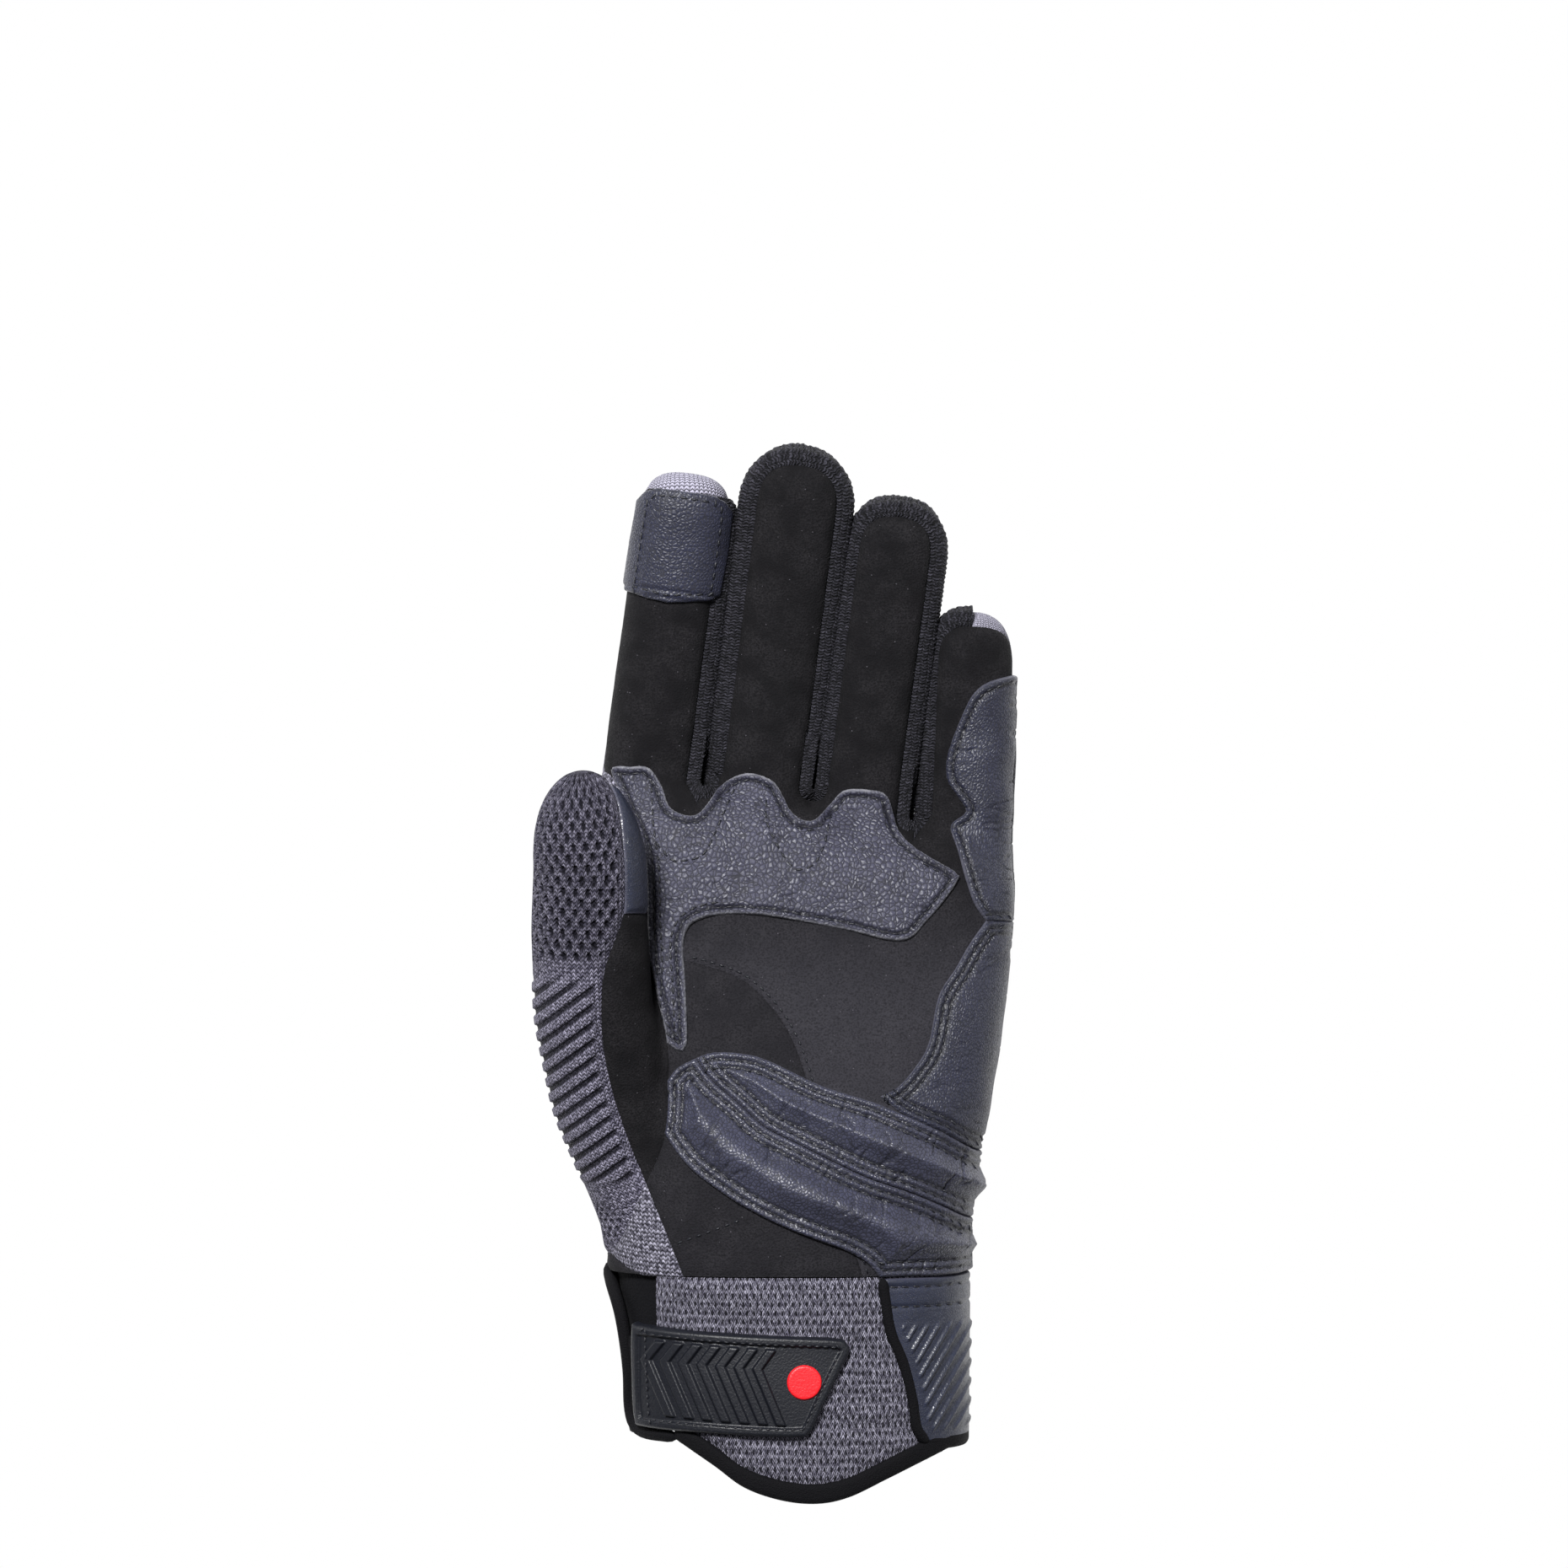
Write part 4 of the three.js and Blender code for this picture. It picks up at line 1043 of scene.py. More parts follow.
crescent_line = soft(CRESCENT)
knit_line = soft(KNIT_EDGE)
fold_line = soft(FOLD)
palm_outline = spots(PALM) + crescent_line
knit_outline = knit_line + spots(KNIT_FAR)
thumb_panel_outline = crescent_line[::-1] + spots([(-FAR_SIDE, 0.671), (-FAR_SIDE, 0.002)])
reinforcement_outline = soft(REINFORCEMENT, closed=True)
heel_seam_line = soft(HEEL_SEAM)
heel_upper_outline = soft(HEEL_TOP)[::-1] + heel_seam_line[1:]
heel_lower_outline = soft(HEEL_LOW) + spots([(0.6, 0.002)]) + heel_seam_line[:0:-1]
edge_outline = soft(EDGE_LINE[:8]) + soft(EDGE_LINE[7:]) + spots([(0.6, 0.757)])
little_outline = soft(LITTLE) + spots([(0.6, 0.748), (0.6, 1.291)])
cuff_side_outline = soft(CUFF_SIDE[:6]) + spots(CUFF_SIDE[6:])
slit_x = SLIT_SIDE * PALM_WIDTH
far_x = FAR_SIDE * PALM_WIDTH
hem_low = hem_line(0)
hem_high = hem_line(HEM_BAND)
cuff_outline = ([(slit_x, 0), (slit_x, HEM_BAND - CUFF_LENGTH)] + hem_high
                + [(far_x, hem_high[-1][1]), (far_x, 0)])
hem_outline = (hem_low + [(far_x, hem_low[-1][1]), (far_x, hem_high[-1][1])] + hem_high[::-1])
fold_outline = fold_line + spots([(-FAR_SIDE, -1.01), (-FAR_SIDE, 0.02)])
INDEX_PATCH = [
    # share of the finger's width, millimetres below the end of the suede
    (-0.45, 23), (-0.43, 24.5), (-0.25, 25.5), (-0.05, 26), (0.15, 25.2), (0.3, 24.5), (0.4, 23),
    (0.42, 12), (0.41, 3), (0.34, 1), (0.24, 0), (-0.26, 0), (-0.36, 1), (-0.42, 3), (-0.44, 12)]
index_width = FINGERS["index"][4]
index_reach = FINGERS["index"][3] - TIP_EDGE
index_patch_outline = [on_finger("index", a * index_width, index_reach - b)
                       for a, b in INDEX_PATCH]
print("outlines:", len(reinforcement_outline), "points round the reinforcement")

# %% Solids that cut the skin


def outward(points, faces):
    """The same solid with its faces turned outwards."""
    p = np.asarray(points)
    volume = sum(np.dot(p[f[0]], np.cross(p[f[i]], p[f[i + 1]]))
                 for f in faces for i in range(1, len(f) - 1))
    return (points, faces) if volume > 0 else (points, [f[::-1] for f in faces])


def joined(*solids):
    return combined(solids[0], *[("UNION", other) for other in solids[1:]])


def beside_seam(far):
    """The side of the seam round the hand that holds the given height."""
    line = [(along_y(a), h * PALM_THICKNESS) for a, h in SIDE_SEAM]
    last_y, last_z = line[-1]
    start = finger_axis_z(last_y, 0)
    for share in (0.25, 0.5, 0.75, 1, 1.3):
        y = last_y + share * LONGEST
        line.append((y, last_z + finger_axis_z(y, 0) - start))
    points, faces = prism(line + [(line[-1][0], far), (line[0][0], far)], -FAR, FAR)
    return outward([(h, y, z) for y, z, h in points], faces)


def finger_tip(name, start, end, lower=0.0):
    """The block over a fingertip, between two shares of the finger's half width."""
    ahead = FINGERS[name][3] - TIP_EDGE - lower
    half = FINGERS[name][4] / 2
    return prism([on_finger(name, start * half, ahead), on_finger(name, end * half, ahead),
                  on_finger(name, end * half, ahead + 20), on_finger(name, start * half, ahead + 20)])


palm_side = beside_seam(FAR)
back_side = beside_seam(-50.0)
thumb_zone = outward(*thumb_tube(1.4))
knit_zone = prism(knit_outline)
index_top = finger_tip("index", -2, 0.9)
little_top = combined(finger_tip("little", 0, 2, FINGERS["little"][4] / 2),
                      ("DIFFERENCE", prism(STRIPS["little"])))
suede_zone = combined(joined(prism(palm_outline), *[prism(o) for o in STRIPS.values()]),
                      *[("DIFFERENCE", prism(crotch_slot(*q))) for q in CROTCHES.values()])
above_wrist = slab(0, 300)
whole_skin = bare_mesh(skin_points, skin_faces)
hand_skin = cut_mesh(whole_skin, ("DIFFERENCE", thumb_zone))
palm_skin = cut_mesh(hand_skin, ("INTERSECT", palm_side))
thumb_skin = cut_mesh(whole_skin, ("INTERSECT", thumb_zone))
print("cutting solids are ready")

# %% [markdown]
# ## The base shell: suede, knits and cuff
# These panels meet edge to edge in seams, so their edges dip into a shallow furrow. The knit
# between the fingers rolls out in a ribbed bead, and the knit on the thumb has rows of eyelets
# and diagonal ribs. Those are shapes in the mesh, because they show at the outline. The finest
# loops are a pattern in the finish.

# %% Profiles of edges and stitched lines


def lip(edge, thickness, radius=0.8):
    """A rolled edge: the height rises from nothing to the thickness over a quarter round."""
    t = np.clip(edge / radius, 0, 1)
    return thickness * np.sqrt(1 - (1 - t) ** 2)


def furrow(distance, depth, half_width=0.5):
    return -depth * np.exp(-(distance / half_width) ** 2)


def step_up(value, low, high):
    t = np.clip((value - low) / (high - low), 0, 1)
    return t * t * (3 - 2 * t)


def stretched_noise(points, along, size, ratio, amount):
    """Creases that run in one direction: `along` is their angle in degrees."""
    c, s = math.cos(math.radians(along)), math.sin(math.radians(along))
    u = (points[:, 0] * c + points[:, 1] * s) / (size * ratio)
    v = (-points[:, 0] * s + points[:, 1] * c) / size
    return amount * np.array([1 - 2 * abs(noise.noise((a, b, 0.0))) for a, b in zip(u, v)])


def beside(points, line, closed=False):
    """Distance to a line seen from above, and how far along the line the nearest point is."""
    p = np.array(line)
    if closed:
        p = np.vstack([p, p[:1]])
    length = run_length(p)
    at = np.arange(0, length[-1], 0.2)
    tree = kd_tree([(x, y, 0) for x, y in point_at(at, length, p)])
    found = [tree.find((x, y, 0)) for x, y in points[:, :2]]
    return np.array([f[2] for f in found]), np.array([at[f[1]] for f in found])


def seam_edge(panel, depth=0.45, width=1.0):
    return furrow(panel.edge, depth, width)


print("profiles are ready")

# %% Suede panels
palm = Panel(palm_skin, ("INTERSECT", suede_zone), ("DIFFERENCE", knit_zone))
pulls = stretched_noise(palm.points, 70, 9, 2.5, 0.12)
# The suede is paler towards the lower palm.
paler_nap = step_up(-palm.points[:, 1], -100, -60) * 0.55
palm.finish("palm_suede", seam_edge(palm) + pulls, suede, "suede", ["palm_panel"], highlight_and_pale=paler_nap)
thumb_root = Panel(palm_skin, ("INTERSECT", prism(thumb_panel_outline)),
                   ("DIFFERENCE", knit_zone), ("INTERSECT", above_wrist))
pulls = stretched_noise(thumb_root.points, 40, 8, 3, 0.15)
thumb_root.finish("thumb_root_suede", seam_edge(thumb_root) + pulls, suede, "suede",
                  ["thumb_panel"], highlight_and_pale=np.full(len(pulls), 0.2))
pad_start = THUMB_PAD_ALONG * PALM_LENGTH
gusset = Panel(thumb_skin, ("DIFFERENCE", knit_zone), ("INTERSECT", slab(-50, pad_start)))
gusset.finish("thumb_gusset_suede", seam_edge(gusset), suede, "suede", ["thumb_gusset"])
pad = Panel(thumb_skin, ("DIFFERENCE", knit_zone), ("INTERSECT", slab(pad_start, 300)),
            finer=1)
pad.finish("thumb_strip", seam_edge(pad) + 0.25, smooth_leather, "navy_leather", ["thumb_pad"])

# %% Knit back of the hand
back = Panel(hand_skin, ("INTERSECT", joined(back_side, index_top, little_top, knit_zone)),
             ("INTERSECT", above_wrist))
x, y = back.points[:, 0], back.points[:, 1]
index_end, little_end = (on_finger(n, 0, FINGERS[n][3])[1] for n in ("index", "little"))
pale = step_up(y, index_end - 8, index_end - 5) * (x < -10)
pale += step_up(y, little_end - 7, little_end - 5) * (x > 30)
back.finish("back_knit", seam_edge(back), back_knit, "grey_knit", ["back_panel"],
            highlight_and_pale=0.9 * pale)

# %% Ribbed knit between the fingers


def side_knit(left, right, bulge=1.5):
    """The walls of the gap between two fingers, with a ribbed bead along the suede."""
    gap = prism([on_finger(left, 0, -FINGER_ROOT / 2), on_finger(right, 0, -FINGER_ROOT / 2),
                 on_finger(right, 0, FINGERS[right][3] + 8),
                 on_finger(left, 0, FINGERS[left][3] + 8)])
    panel = Panel(palm_skin, ("INTERSECT", gap), ("DIFFERENCE", suede_zone),
                  ("DIFFERENCE", index_top), finer=1)
    near_left, along_left = beside(panel.points, STRIPS[left], closed=True)
    near_right, along_right = beside(panel.points, STRIPS[right], closed=True)
    is_left = near_left < near_right
    side = np.where(is_left, 1, -1)
    along = np.where(is_left, along_left, along_right)
    crotch_x, crotch_y = CROTCHES[f"{left}_{right}"]
    x = panel.points[:, 0] - crotch_x
    y = panel.points[:, 1] - crotch_y - CROTCH_HALF
    distance = np.where(y < 12, panel.edge, np.minimum(near_left, near_right))
    along = np.where(y < 0, CROTCH_HALF * np.arctan2(-y, np.abs(x)), along)
    ribs = np.cos(2 * np.pi * (along / 1.1 + side * distance / 1.9))
    bead = np.exp(-((distance - 1.3) / 1.2) ** 2)
    valley = step_up(distance, 2.3, 3.3) * step_up(-y, -9, -3)
    height = 0.4 * bead + bulge * step_up(distance, 0.6, 2.4) + 0.12 * ribs - 1.8 * valley
    height += furrow(distance, 0.8, 0.45) + furrow(distance - 2.9, 0.3, 0.4)
    flat = np.column_stack([distance, along])
    # Painted shade in the rib grooves and the dip at the crotch, painted highlight on the rib crests.
    painted_shade = np.clip(0.6 * step_up(-ribs, 0.0, 0.9) + 0.7 * valley, 0, 1)
    panel.finish(f"knit_between_{left}_and_{right}", height, black_knit, "black_knit",
                 [f"side_knit_{left}_{right}"], flat=flat, painted_shade=painted_shade,
                 highlight_and_pale=0.6 * step_up(ribs, 0.2, 1))


side_knit("index", "middle", 1.75)
side_knit("middle", "ring")
side_knit("ring", "little")

# %% Thumb knit with eyelets and diagonal ribs
RIBS = 7
EYELETS_FROM = 74.0
RIBS_FROM = 20.0
RIBS_TO = 71.0
SMALL_HOLES_TO = 17.0
RIB_SLANT = 0.72


def round_thumb(points):
    """Distance round the thumb and along it, in millimetres."""
    line, _, length = thumb_line()
    gap = ((points[:, None, :] - line[None]) ** 2).sum(axis=2)
    nearest = gap.argmin(axis=1)
    ahead = np.gradient(line, axis=0)[nearest]
    ahead /= np.linalg.norm(ahead, axis=1)[:, None]
    across = np.column_stack([ahead[:, 1], -ahead[:, 0], np.zeros(len(ahead))])
    away = points - line[nearest]
    angle = np.arctan2((away * across).sum(axis=1), away[:, 2])
    shift = (away * ahead).sum(axis=1)
    return angle * THUMB_WIDTH / 2, length[nearest] + shift


def lattice(u, v, across, ahead, wide, long):
    """Staggered holes: 1 inside a hole, 0 outside."""
    row = np.round(v / (ahead / 2))
    offset = np.where(row % 2 == 0, 0, across / 2)
    du = (u - offset) - across * np.round((u - offset) / across)
    dv = v - row * ahead / 2
    return step_up(-np.sqrt((du / wide) ** 2 + (dv / long) ** 2), -1.25, -0.75)


thumb = Panel(thumb_skin, ("INTERSECT", knit_zone), finer=1)
around, ahead = round_thumb(thumb.points)
x, y = thumb.points[:, 0], thumb.points[:, 1]
big = lattice(around, ahead, 3.35, 4.9, 0.66, 1.05)
big *= step_up(y, EYELETS_FROM - 1, EYELETS_FROM) * step_up(thumb.edge, 1.4, 2.2)
small = lattice(around, ahead, 2.4, 3.4, 0.5, 0.62)
small *= step_up(-y, -SMALL_HOLES_TO, 2 - SMALL_HOLES_TO) * step_up(thumb.edge, 1.0, 1.6)
pitch = 0.43 * PALM_LENGTH / RIBS / 1.62
slant = (y - RIB_SLANT * (x + 0.48 * PALM_WIDTH)) / pitch
inside = step_up(y, RIBS_FROM, RIBS_FROM + 3) * step_up(-y, -RIBS_TO, 4 - RIBS_TO)
inside *= step_up(thumb.edge, 1.2, 2.6)
wave = np.cos(2 * np.pi * slant)
ridge = inside * step_up(wave, -0.65, 0.1)
grooves = inside * (1 - step_up(wave, -0.65, -0.15))
height = seam_edge(thumb, 0.6, 1.2) - 0.85 * big - 0.45 * small + 0.4 * ridge - 0.25 * grooves
# Darker over the eyelet rows; painted shade in the grooves and holes, painted highlight on the ribs.
shade = 0.35 * step_up(y, EYELETS_FROM - 4, EYELETS_FROM + 2)
thumb.finish("thumb_knit", height, grey_knit, "grey_knit", ["thumb_back"],
             flat=np.column_stack([around, ahead]),
             painted_shade=np.clip(shade + big + small * 0.85 + 0.9 * grooves, 0, 1), highlight_and_pale=0.3 * ridge)

# %% Cuff
cuff = Panel(palm_skin, ("INTERSECT", prism(cuff_outline)), finer=1)
rows = np.cos(2 * np.pi * (cuff.points[:, 1] / 2.3 + 0.004 * cuff.points[:, 0]))
folds = stretched_noise(cuff.points, -8, 7, 3.5, 0.7)
# Painted highlight on the crests of the knitted rows.
cuff.finish("cuff_knit", 0.2 + 0.04 * rows + folds + seam_edge(cuff, 0.5), cuff_knit,
            "grey_knit", ["cuff_front"], highlight_and_pale=0.2 * step_up(rows, 0.3, 1))
hem = Panel(palm_skin, ("INTERSECT", prism(hem_outline)), finer=1)
hem.finish("hem_binding", 0.3 + lip(hem.edge, 0.9, 1.6), binding, "binding", ["cuff_hem"])
cuff_rear = Panel(whole_skin, ("INTERSECT", joined(back_side, prism(fold_outline))),
                  ("INTERSECT", slab(-CUFF_LENGTH, 0)))
cuff_rear.finish("cuff_back", seam_edge(cuff_rear, 0.3) + 0.2, binding, "binding", ["cuff_back"])

# %% [markdown]
# ## Leather on the palm
# Cut leather lies on the suede and is sewn through along its edge. The edge rises steeply, the
# stitches pull a furrow into it, and between the furrows the leather stands up a little. The two
# heel pads have foam under them and swell much more. Creases run across the pull of the seams.

# %% Relief of the leather
EDGE_ROW = 1.7
SECOND_ROW = 3.2
PAD_ROWS = (EDGE_ROW, 3.5)
ROW_WIDTH = 0.5
CREASE_SIZE = 3.0


def laid_on(outline, finer=1):
    return Panel(palm_skin, ("INTERSECT", prism(outline)), finer=finer)


def wrinkles(panel, along):
    """Where thin creases run: 1 in a crease, 0 between. `along` is their angle in degrees."""
    line = stretched_noise(panel.points, along, CREASE_SIZE, 3.0, 1.0)
    return step_up(line, 0.8, 0.97) * step_up(rumple(panel.points, 6, 1.0), -0.15, 0.25)


def leather_height(panel, rows, thickness=1.2, creases=0.12, angle=0.0, puff=0.0):
    """A leather panel's height, with a furrow at each row of stitches from its cut edge."""
    height = 0.3 + lip(panel.edge, thickness - 0.1)
    for row in rows:
        height = height + furrow(panel.edge - row, 0.5, ROW_WIDTH)
    height += puff * step_up(panel.edge, rows[-1] if rows else 0, 9)
    drawn_in = 0.35 + 0.65 * np.exp(-((panel.edge - 5) / 3.5) ** 2)
    return height - creases * drawn_in * wrinkles(panel, angle)


def painted_leather_shade(panel, rows, angle):
    """Painted shade in the furrows of its stitch rows and in its creases."""
    furrows = -sum(furrow(panel.edge - row, 0.85, ROW_WIDTH) for row in rows)
    return np.clip(furrows + 0.25 * wrinkles(panel, angle), 0, 1)


print("rows of stitches:", EDGE_ROW, "and", SECOND_ROW, "mm from the edge")

# %% Leather panels
LEATHERS = [
    # piece, node, name of its stitches, outline, finish,
    # rows, thickness, creases, their angle, puff, size, swell
    ("palm_reinforcement", "palm_reinforcement", "reinforcement", reinforcement_outline,
     pebbled_leather, (EDGE_ROW,), 1.2, 0.3, 0, 0, 9, 0.7),
    ("upper_heel_pad", "heel_pad_upper", "upper_heel", heel_upper_outline,
     heel_leather, PAD_ROWS, 1.4, 0.5, 62, 2.8, 7, 0.5),
    ("lower_heel_pad", "heel_pad_lower", "lower_heel", heel_lower_outline,
     heel_leather, PAD_ROWS, 1.4, 0.5, 58, 3.0, 7, 0.5),
    ("edge_leather", "edge_panel", "edge", edge_outline,
     navy_leather, (EDGE_ROW, SECOND_ROW), 1.2, 0.3, 12, 0, 12, 0.6),
    ("little_finger_leather", "little_finger_patch", "little_finger", little_outline,
     navy_leather, (EDGE_ROW,), 1.2, 0.4, 5, 0, 8, 0.6),
]
sewn = {}
for (name, node, label, outline, finish,
     rows, thickness, creases, angle, puff, size, swell) in LEATHERS:
    panel = laid_on(outline)
    height = leather_height(panel, rows, thickness, creases, angle, puff)
    slot = "pebbled_leather" if finish is pebbled_leather else "navy_leather"
    made = panel.finish(name, height + rumple(panel.points, size, swell), finish, slot, [node],
                        painted_shade=painted_leather_shade(panel, rows, angle))
    sewn[label] = (panel, outline, rows, slot)

# %% Index patch and cuff side
index = laid_on(index_patch_outline)
below = index.points[:, 1] - on_finger("index", 0, index_reach - 24)[1]
below += FINGERS["index"][2] * (index.points[:, 0] + 36)
index.finish("index_tip_leather", leather_height(index, [], creases=0.06)
             + furrow(below - EDGE_ROW, 0.3) + furrow(below, 0.3),
             navy_leather, "navy_leather", ["index_tip_patch"])

PIPING_RISE = 1.7
PIPING_PITCH = 4.4
PIPING_FROM = -37.0
PIPING_TO = -10.5
CUFF_ROWS = (-2.2, -6.8)
cuff_side = laid_on(cuff_side_outline)
x, y = cuff_side.points[:, 0], cuff_side.points[:, 1]
place = (y - PIPING_RISE * (x - 0.25 * PALM_WIDTH) + 1.05 * CUFF_LENGTH) / PIPING_PITCH
field = step_up(-y, -PIPING_TO, 1.5 - PIPING_TO) * step_up(cuff_side.edge, 2.2, 3.2)
field *= step_up(y, PIPING_FROM, PIPING_FROM + 3)
bars = field * step_up(np.cos(2 * np.pi * place), 0.3, 0.95)
height = leather_height(cuff_side, [], 1.0, creases=0.1) + 0.5 * bars
height += sum(furrow(y - row, 0.35) for row in CUFF_ROWS)
cuff_side.finish("cuff_side_leather", height, smooth_leather, "navy_leather",
                 ["cuff_side_panel"])

# %% [markdown]
# ## The strap
# The tab that closes the cuff is moulded rubber: a raised rim, a row of chevrons and a round
# spot. It is cut from the same skin with a finer mesh, because its edges are crisp.

# %% Strap and badge
STRAP_LENGTH = 49.0
STRAP_WIDTH = 24.0
STRAP_LEFT = -0.39 * PALM_WIDTH
STRAP_TOP = -0.3 * CUFF_LENGTH
CHEVRONS = 7
CHEVRON_PITCH = 0.084
STRAP = [(0, 0.03), (0.03, 0), (0.3, 0), (0.6, -0.005), (0.93, -0.02), (0.985, 0.02),
         (1.0, 0.1), (0.96, 0.28), (0.89, 0.59), (0.82, 0.9), (0.77, 0.95), (0.6, 0.97),
         (0.3, 0.98), (0.06, 0.99), (0.02, 0.93), (0.005, 0.5)]


def on_strap(along, down):
    return (STRAP_LEFT + along * STRAP_LENGTH,
            STRAP_TOP - down * STRAP_WIDTH - along * 0.13 * STRAP_WIDTH)


strap_outline = rounded([on_strap(a, b) for a, b in STRAP], 0.7)
strap = laid_on(strap_outline, finer=2)
along = (strap.points[:, 0] - STRAP_LEFT) / STRAP_LENGTH
down = (STRAP_TOP - strap.points[:, 1]) / STRAP_WIDTH - 0.13 * along
bend = np.interp(down, [0.14, 0.32, 0.84], [0.06, 0, 0.11])
turn = (along - bend - 0.068) / CHEVRON_PITCH
rib = np.clip(1 - np.abs(turn - np.round(turn)) * 2, 0, 1)
rib = step_up(rib, 0.35, 0.62) * (np.round(turn) >= 0) * (np.round(turn) < CHEVRONS)
rib *= step_up(down, 0.11, 0.14) * step_up(-down, -0.86, -0.83)
rim = lip(strap.edge, 1.9, 1.0) - 0.75 * step_up(strap.edge, 1.8, 2.5)
strap.finish("strap", 0.9 + rim + 0.85 * rib, rubber, "rubber", ["strap"], skirt=1.2)
BADGE_RADIUS = 4.0
badge_x, badge_y = on_strap(0.79, 0.42)
circle = [(badge_x + BADGE_RADIUS * math.cos(t), badge_y + BADGE_RADIUS * math.sin(t))
          for t in np.linspace(0, 2 * np.pi, 60, endpoint=False)]
badge = laid_on(circle, finer=2)
badge.finish("round_badge", 1.9 + lip(badge.edge, 0.8, 0.6), red_rubber, "red_rubber",
             ["strap_badge"], skirt=0.8)

# %% [markdown]
# ## Thread, bindings and lining
# Every stitch is a short strand of thread that lies in its furrow, set down from above onto the
# finished leather. The rows follow the cut edges at a sewing foot's distance. A painted dashed
# line would be lighter, but real strands catch the light. Raw cuff edges are bound with tape.

# %% Stitches
SKY_HEIGHT = 150
STITCH_LENGTH = 1.8
STITCH_PITCH = 2.6
STITCH_RADIUS = 0.26


def from_above(tree, x, y):
    """Where a ray straight down meets a surface, and the normal there."""
    return tree.ray_cast(Vector((x, y, SKY_HEIGHT)), Vector((0, 0, -1)))[:2]


def strand(length, radius, sides=6):
    """One stitch along X: a thread with tapered ends."""
    points = [(-length / 2, 0, 0)]
    for along, wide in ((-0.42, 0.7), (0, 1.0), (0.42, 0.7)):
        for k in range(sides):
            t = 2 * math.pi * k / sides
            points.append((along * length, wide * radius * math.cos(t), wide * radius * math.sin(t)))
    points.append((length / 2, 0, 0))
    faces = [(0, 1 + (k + 1) % sides, 1 + k) for k in range(sides)]
    for r in range(2):
        for k in range(sides):
            a, b = 1 + r * sides + k, 1 + r * sides + (k + 1) % sides
            faces.append((a, b, b + sides, a + sides))
    last = len(points) - 1
    faces += [(last, last - sides + k, last - sides + (k + 1) % sides) for k in range(sides)]
    return np.array(points), faces


def evenly(line, pitch, closed):
    """Points and directions at an even pitch along a line."""
    p = np.array(line)
    if closed:
        p = np.vstack([p, p[:1]])
    length = run_length(p)
    count = max(2, round(length[-1] / pitch))
    at = (np.arange(count) + 0.5) * length[-1] / count
    place = point_at(at, length, p)
    ahead = point_at(at + 0.3, length, p) - place
    return place, ahead / (np.linalg.norm(ahead, axis=1)[:, None] + 1e-9)


def inside_line(outline, distance):
    """The outline moved inwards, whichever way round it runs."""
    return inset(outline, distance if runs_left(outline) else -distance)


def stitches(name, panel, lines, pitch=STITCH_PITCH, length=STITCH_LENGTH):
    """Rows of stitches on a panel. Each line comes with whether it is closed."""
    base, base_faces = strand(length, STITCH_RADIUS)
    points, faces = [], []
    for line, closed in lines:
        for (x, y), (dx, dy) in zip(*evenly(line, pitch, closed)):
            spot, normal = from_above(panel.tree, x, y)
            if spot is None or abs(normal.z) < 0.2:
                continue
            if normal.z < 0:
                normal = -normal
            ahead = Vector((dx, dy, 0))
            ahead = (ahead - normal * ahead.dot(normal)).normalized()
            axes = np.array([ahead, normal.cross(ahead), normal])
            start = len(points) * len(base)
            points.append(base @ axes + np.array(spot) + 0.06 * np.array(normal))
            faces += [tuple(i + start for i in f) for f in base_faces]
    return solid_piece(name, np.vstack(points), faces, thread)


def solid_piece(name, points, faces, material):
    bm = bmesh.new()
    verts = [bm.verts.new(p) for p in points]
    for face in faces:
        bm.faces.new([verts[i] for i in face])
    return placed(bm, name, material)


print("thread:", 2 * STITCH_RADIUS, "mm thick")

# %% Rows of stitches
LEFT_U = [(-0.361, 1.052), (-0.351, 0.941), (-0.329, 0.907), (-0.311, 0.890), (-0.285, 0.887),
          (-0.237, 0.901), (-0.207, 0.950), (-0.183, 1.001), (-0.161, 1.046)]
RIGHT_U = [(-0.087, 1.023), (-0.085, 0.970), (-0.057, 0.914), (-0.025, 0.876), (-0.001, 0.869),
           (0.031, 0.885), (0.053, 0.929), (0.067, 0.994)]
CREASE = [(-0.3, 0.072), (-0.145, 0.125)]
lower_row = inside_line(reinforcement_outline, SECOND_ROW - 0.2)[160:245]
for label, (panel, outline, rows, slot) in sewn.items():
    lines = [(inside_line(outline, row), True) for row in rows]
    if label == "reinforcement":
        lines += [(line, False) for line in (lower_row, soft(LEFT_U, 0.5), soft(RIGHT_U, 0.5))]
    stitches(f"stitches_{label}", panel, lines)
index_row = inside_line(rounded(index_patch_outline, 0.5), EDGE_ROW)
stitches("stitches_index", index, [(index_row, True)])
stitches("stitches_crescent", palm, [(inset(crescent_line, 1.3, closed=False), False)],
         2.2, 1.3)
stitches("stitches_strap", strap, [(inside_line(strap_outline, 1.9), True)], 1.9, 1.2)
cuff_lines = [([(0.2 * PALM_WIDTH, y), (0.385 * PALM_WIDTH, y)], False) for y in CUFF_ROWS]
stitches("stitches_cuff_side", cuff_side, cuff_lines)
stitches("stitches_crease", thumb_root, [(spots(CREASE), False)], 2.2, 1.2)

# %% Cords and bindings
SIDE_HEIGHT = 19.4  # where the slit's binding runs along the side of the cuff
SLIT_EDGE = [(-0.474, 0.012), (-0.458, -0.053), (-0.436, -0.213), (-0.422, -0.4), (-0.412, -0.627),
             (-0.411, -0.827), (-0.401, -0.95), (-0.38, -0.985), (-0.341, -0.985), (-0.295, -0.99)]


def on_top(tree, line, lift=0.0):
    """A line seen from above, set down on a surface, or on its side where the line runs past."""
    points = []
    for x, y in line:
        spot = from_above(tree, x, y)[0]
        if spot is None or spot.z < SIDE_HEIGHT:
            spot = tree.find_nearest(Vector((x, y, SIDE_HEIGHT)))[0]
        points.append(spot + Vector((0, 0, lift)))
    return points


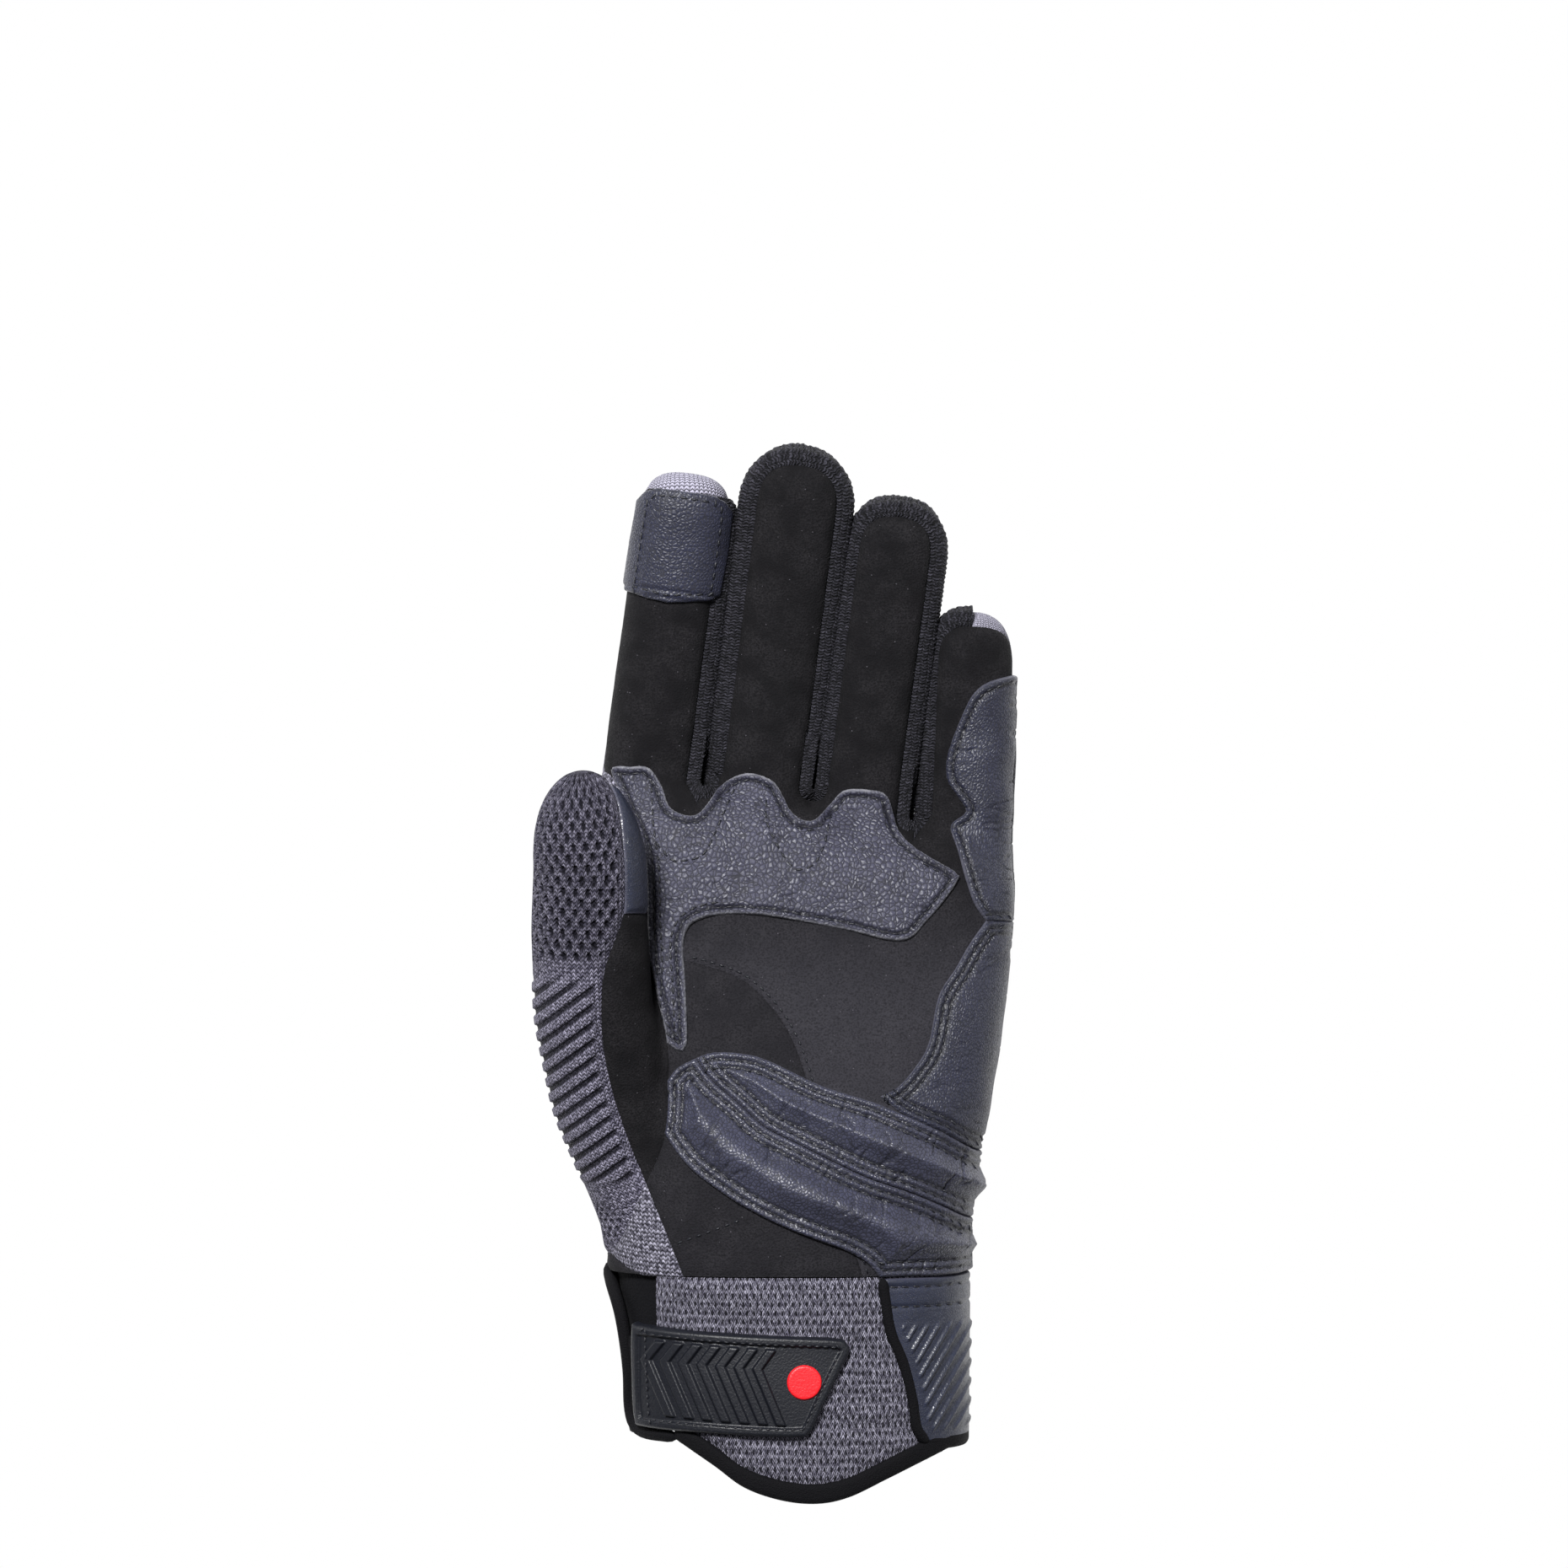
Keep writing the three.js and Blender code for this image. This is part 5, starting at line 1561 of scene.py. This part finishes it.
def cord(name, line, radius, material, flat=1.0, sides=10):
    """A tube with rounded ends along a line in space."""
    p = np.array([tuple(v) for v in line])
    for _ in range(4):
        p[1:-1] = (p[:-2] + 2 * p[1:-1] + p[2:]) / 4
    ahead = np.gradient(p, axis=0)
    ahead /= np.linalg.norm(ahead, axis=1)[:, None]
    beside_it = np.cross(ahead, (0, 0, 1))
    beside_it /= np.linalg.norm(beside_it, axis=1)[:, None]
    above = np.cross(beside_it, ahead)
    rings = []
    size = np.ones(len(p))
    size[[0, -1]] = 0.35
    size[[1, -2]] = 0.85
    for centre, u, w, k in zip(p, beside_it, above, size):
        t = 2 * np.pi * np.arange(sides) / sides
        rings.append(centre + k * radius * (np.outer(np.cos(t), u) + flat * np.outer(np.sin(t), w)))
    points, faces = outward(*tube(rings))
    return solid_piece(name, points, faces, material)


skin_tree = BVHTree.FromPolygons([tuple(p) for p in skin_points], skin_faces)
cord("slit_binding", on_top(skin_tree, soft(SLIT_EDGE), 0.1), 1.5, binding, 0.8)
side_edge = soft(CUFF_SIDE[:6], 0.8)
cord("side_panel_binding", on_top(skin_tree, side_edge, 0.9), 1.25, binding, 0.7)
low_edge = [(x, -CUFF_LENGTH - 0.6)
            for x in np.arange(0.29 * PALM_WIDTH, 0.385 * PALM_WIDTH, 0.8)]
cord("side_panel_lower_binding", on_top(skin_tree, low_edge, 0.7), 1.1, binding, 0.7)

# %% Lining
LINING_GAP = 2.0
LINING_VOXEL = 2.4
lining_tubes = [palm_tube(-LINING_GAP), *[finger_tube(n, -LINING_GAP - FINGER_SLIM) for n in FINGERS],
                thumb_tube(-LINING_GAP)]
lining_points, lining_faces = melted(lining_tubes, LINING_VOXEL, 2)
lining_points[:, 2] = np.maximum(lining_points[:, 2], LINING_GAP * 0.8)
front_low = hem_line(1.5)
front_outline = ([(-FAR, 5), (-FAR, front_low[0][1])] + front_low
                 + [(far_x, front_low[-1][1]), (far_x, 5)])
front_zone = combined(palm_side, ("INTERSECT", prism(front_outline)))
rear_zone = combined(joined(back_side, prism(fold_outline)),
                     ("INTERSECT", slab(0.7 - CUFF_LENGTH, 5)))
lining_zone = joined(slab(0, 300), front_zone, rear_zone)
inner_panel = Panel(bare_mesh(lining_points, lining_faces), ("INTERSECT", lining_zone))
inner_panel.finish("lining", np.zeros(len(inner_panel.points)), lining, "binding", skirt=0.3)

# %% Count the triangles
print("triangles in all:", sum(triangles.values()))
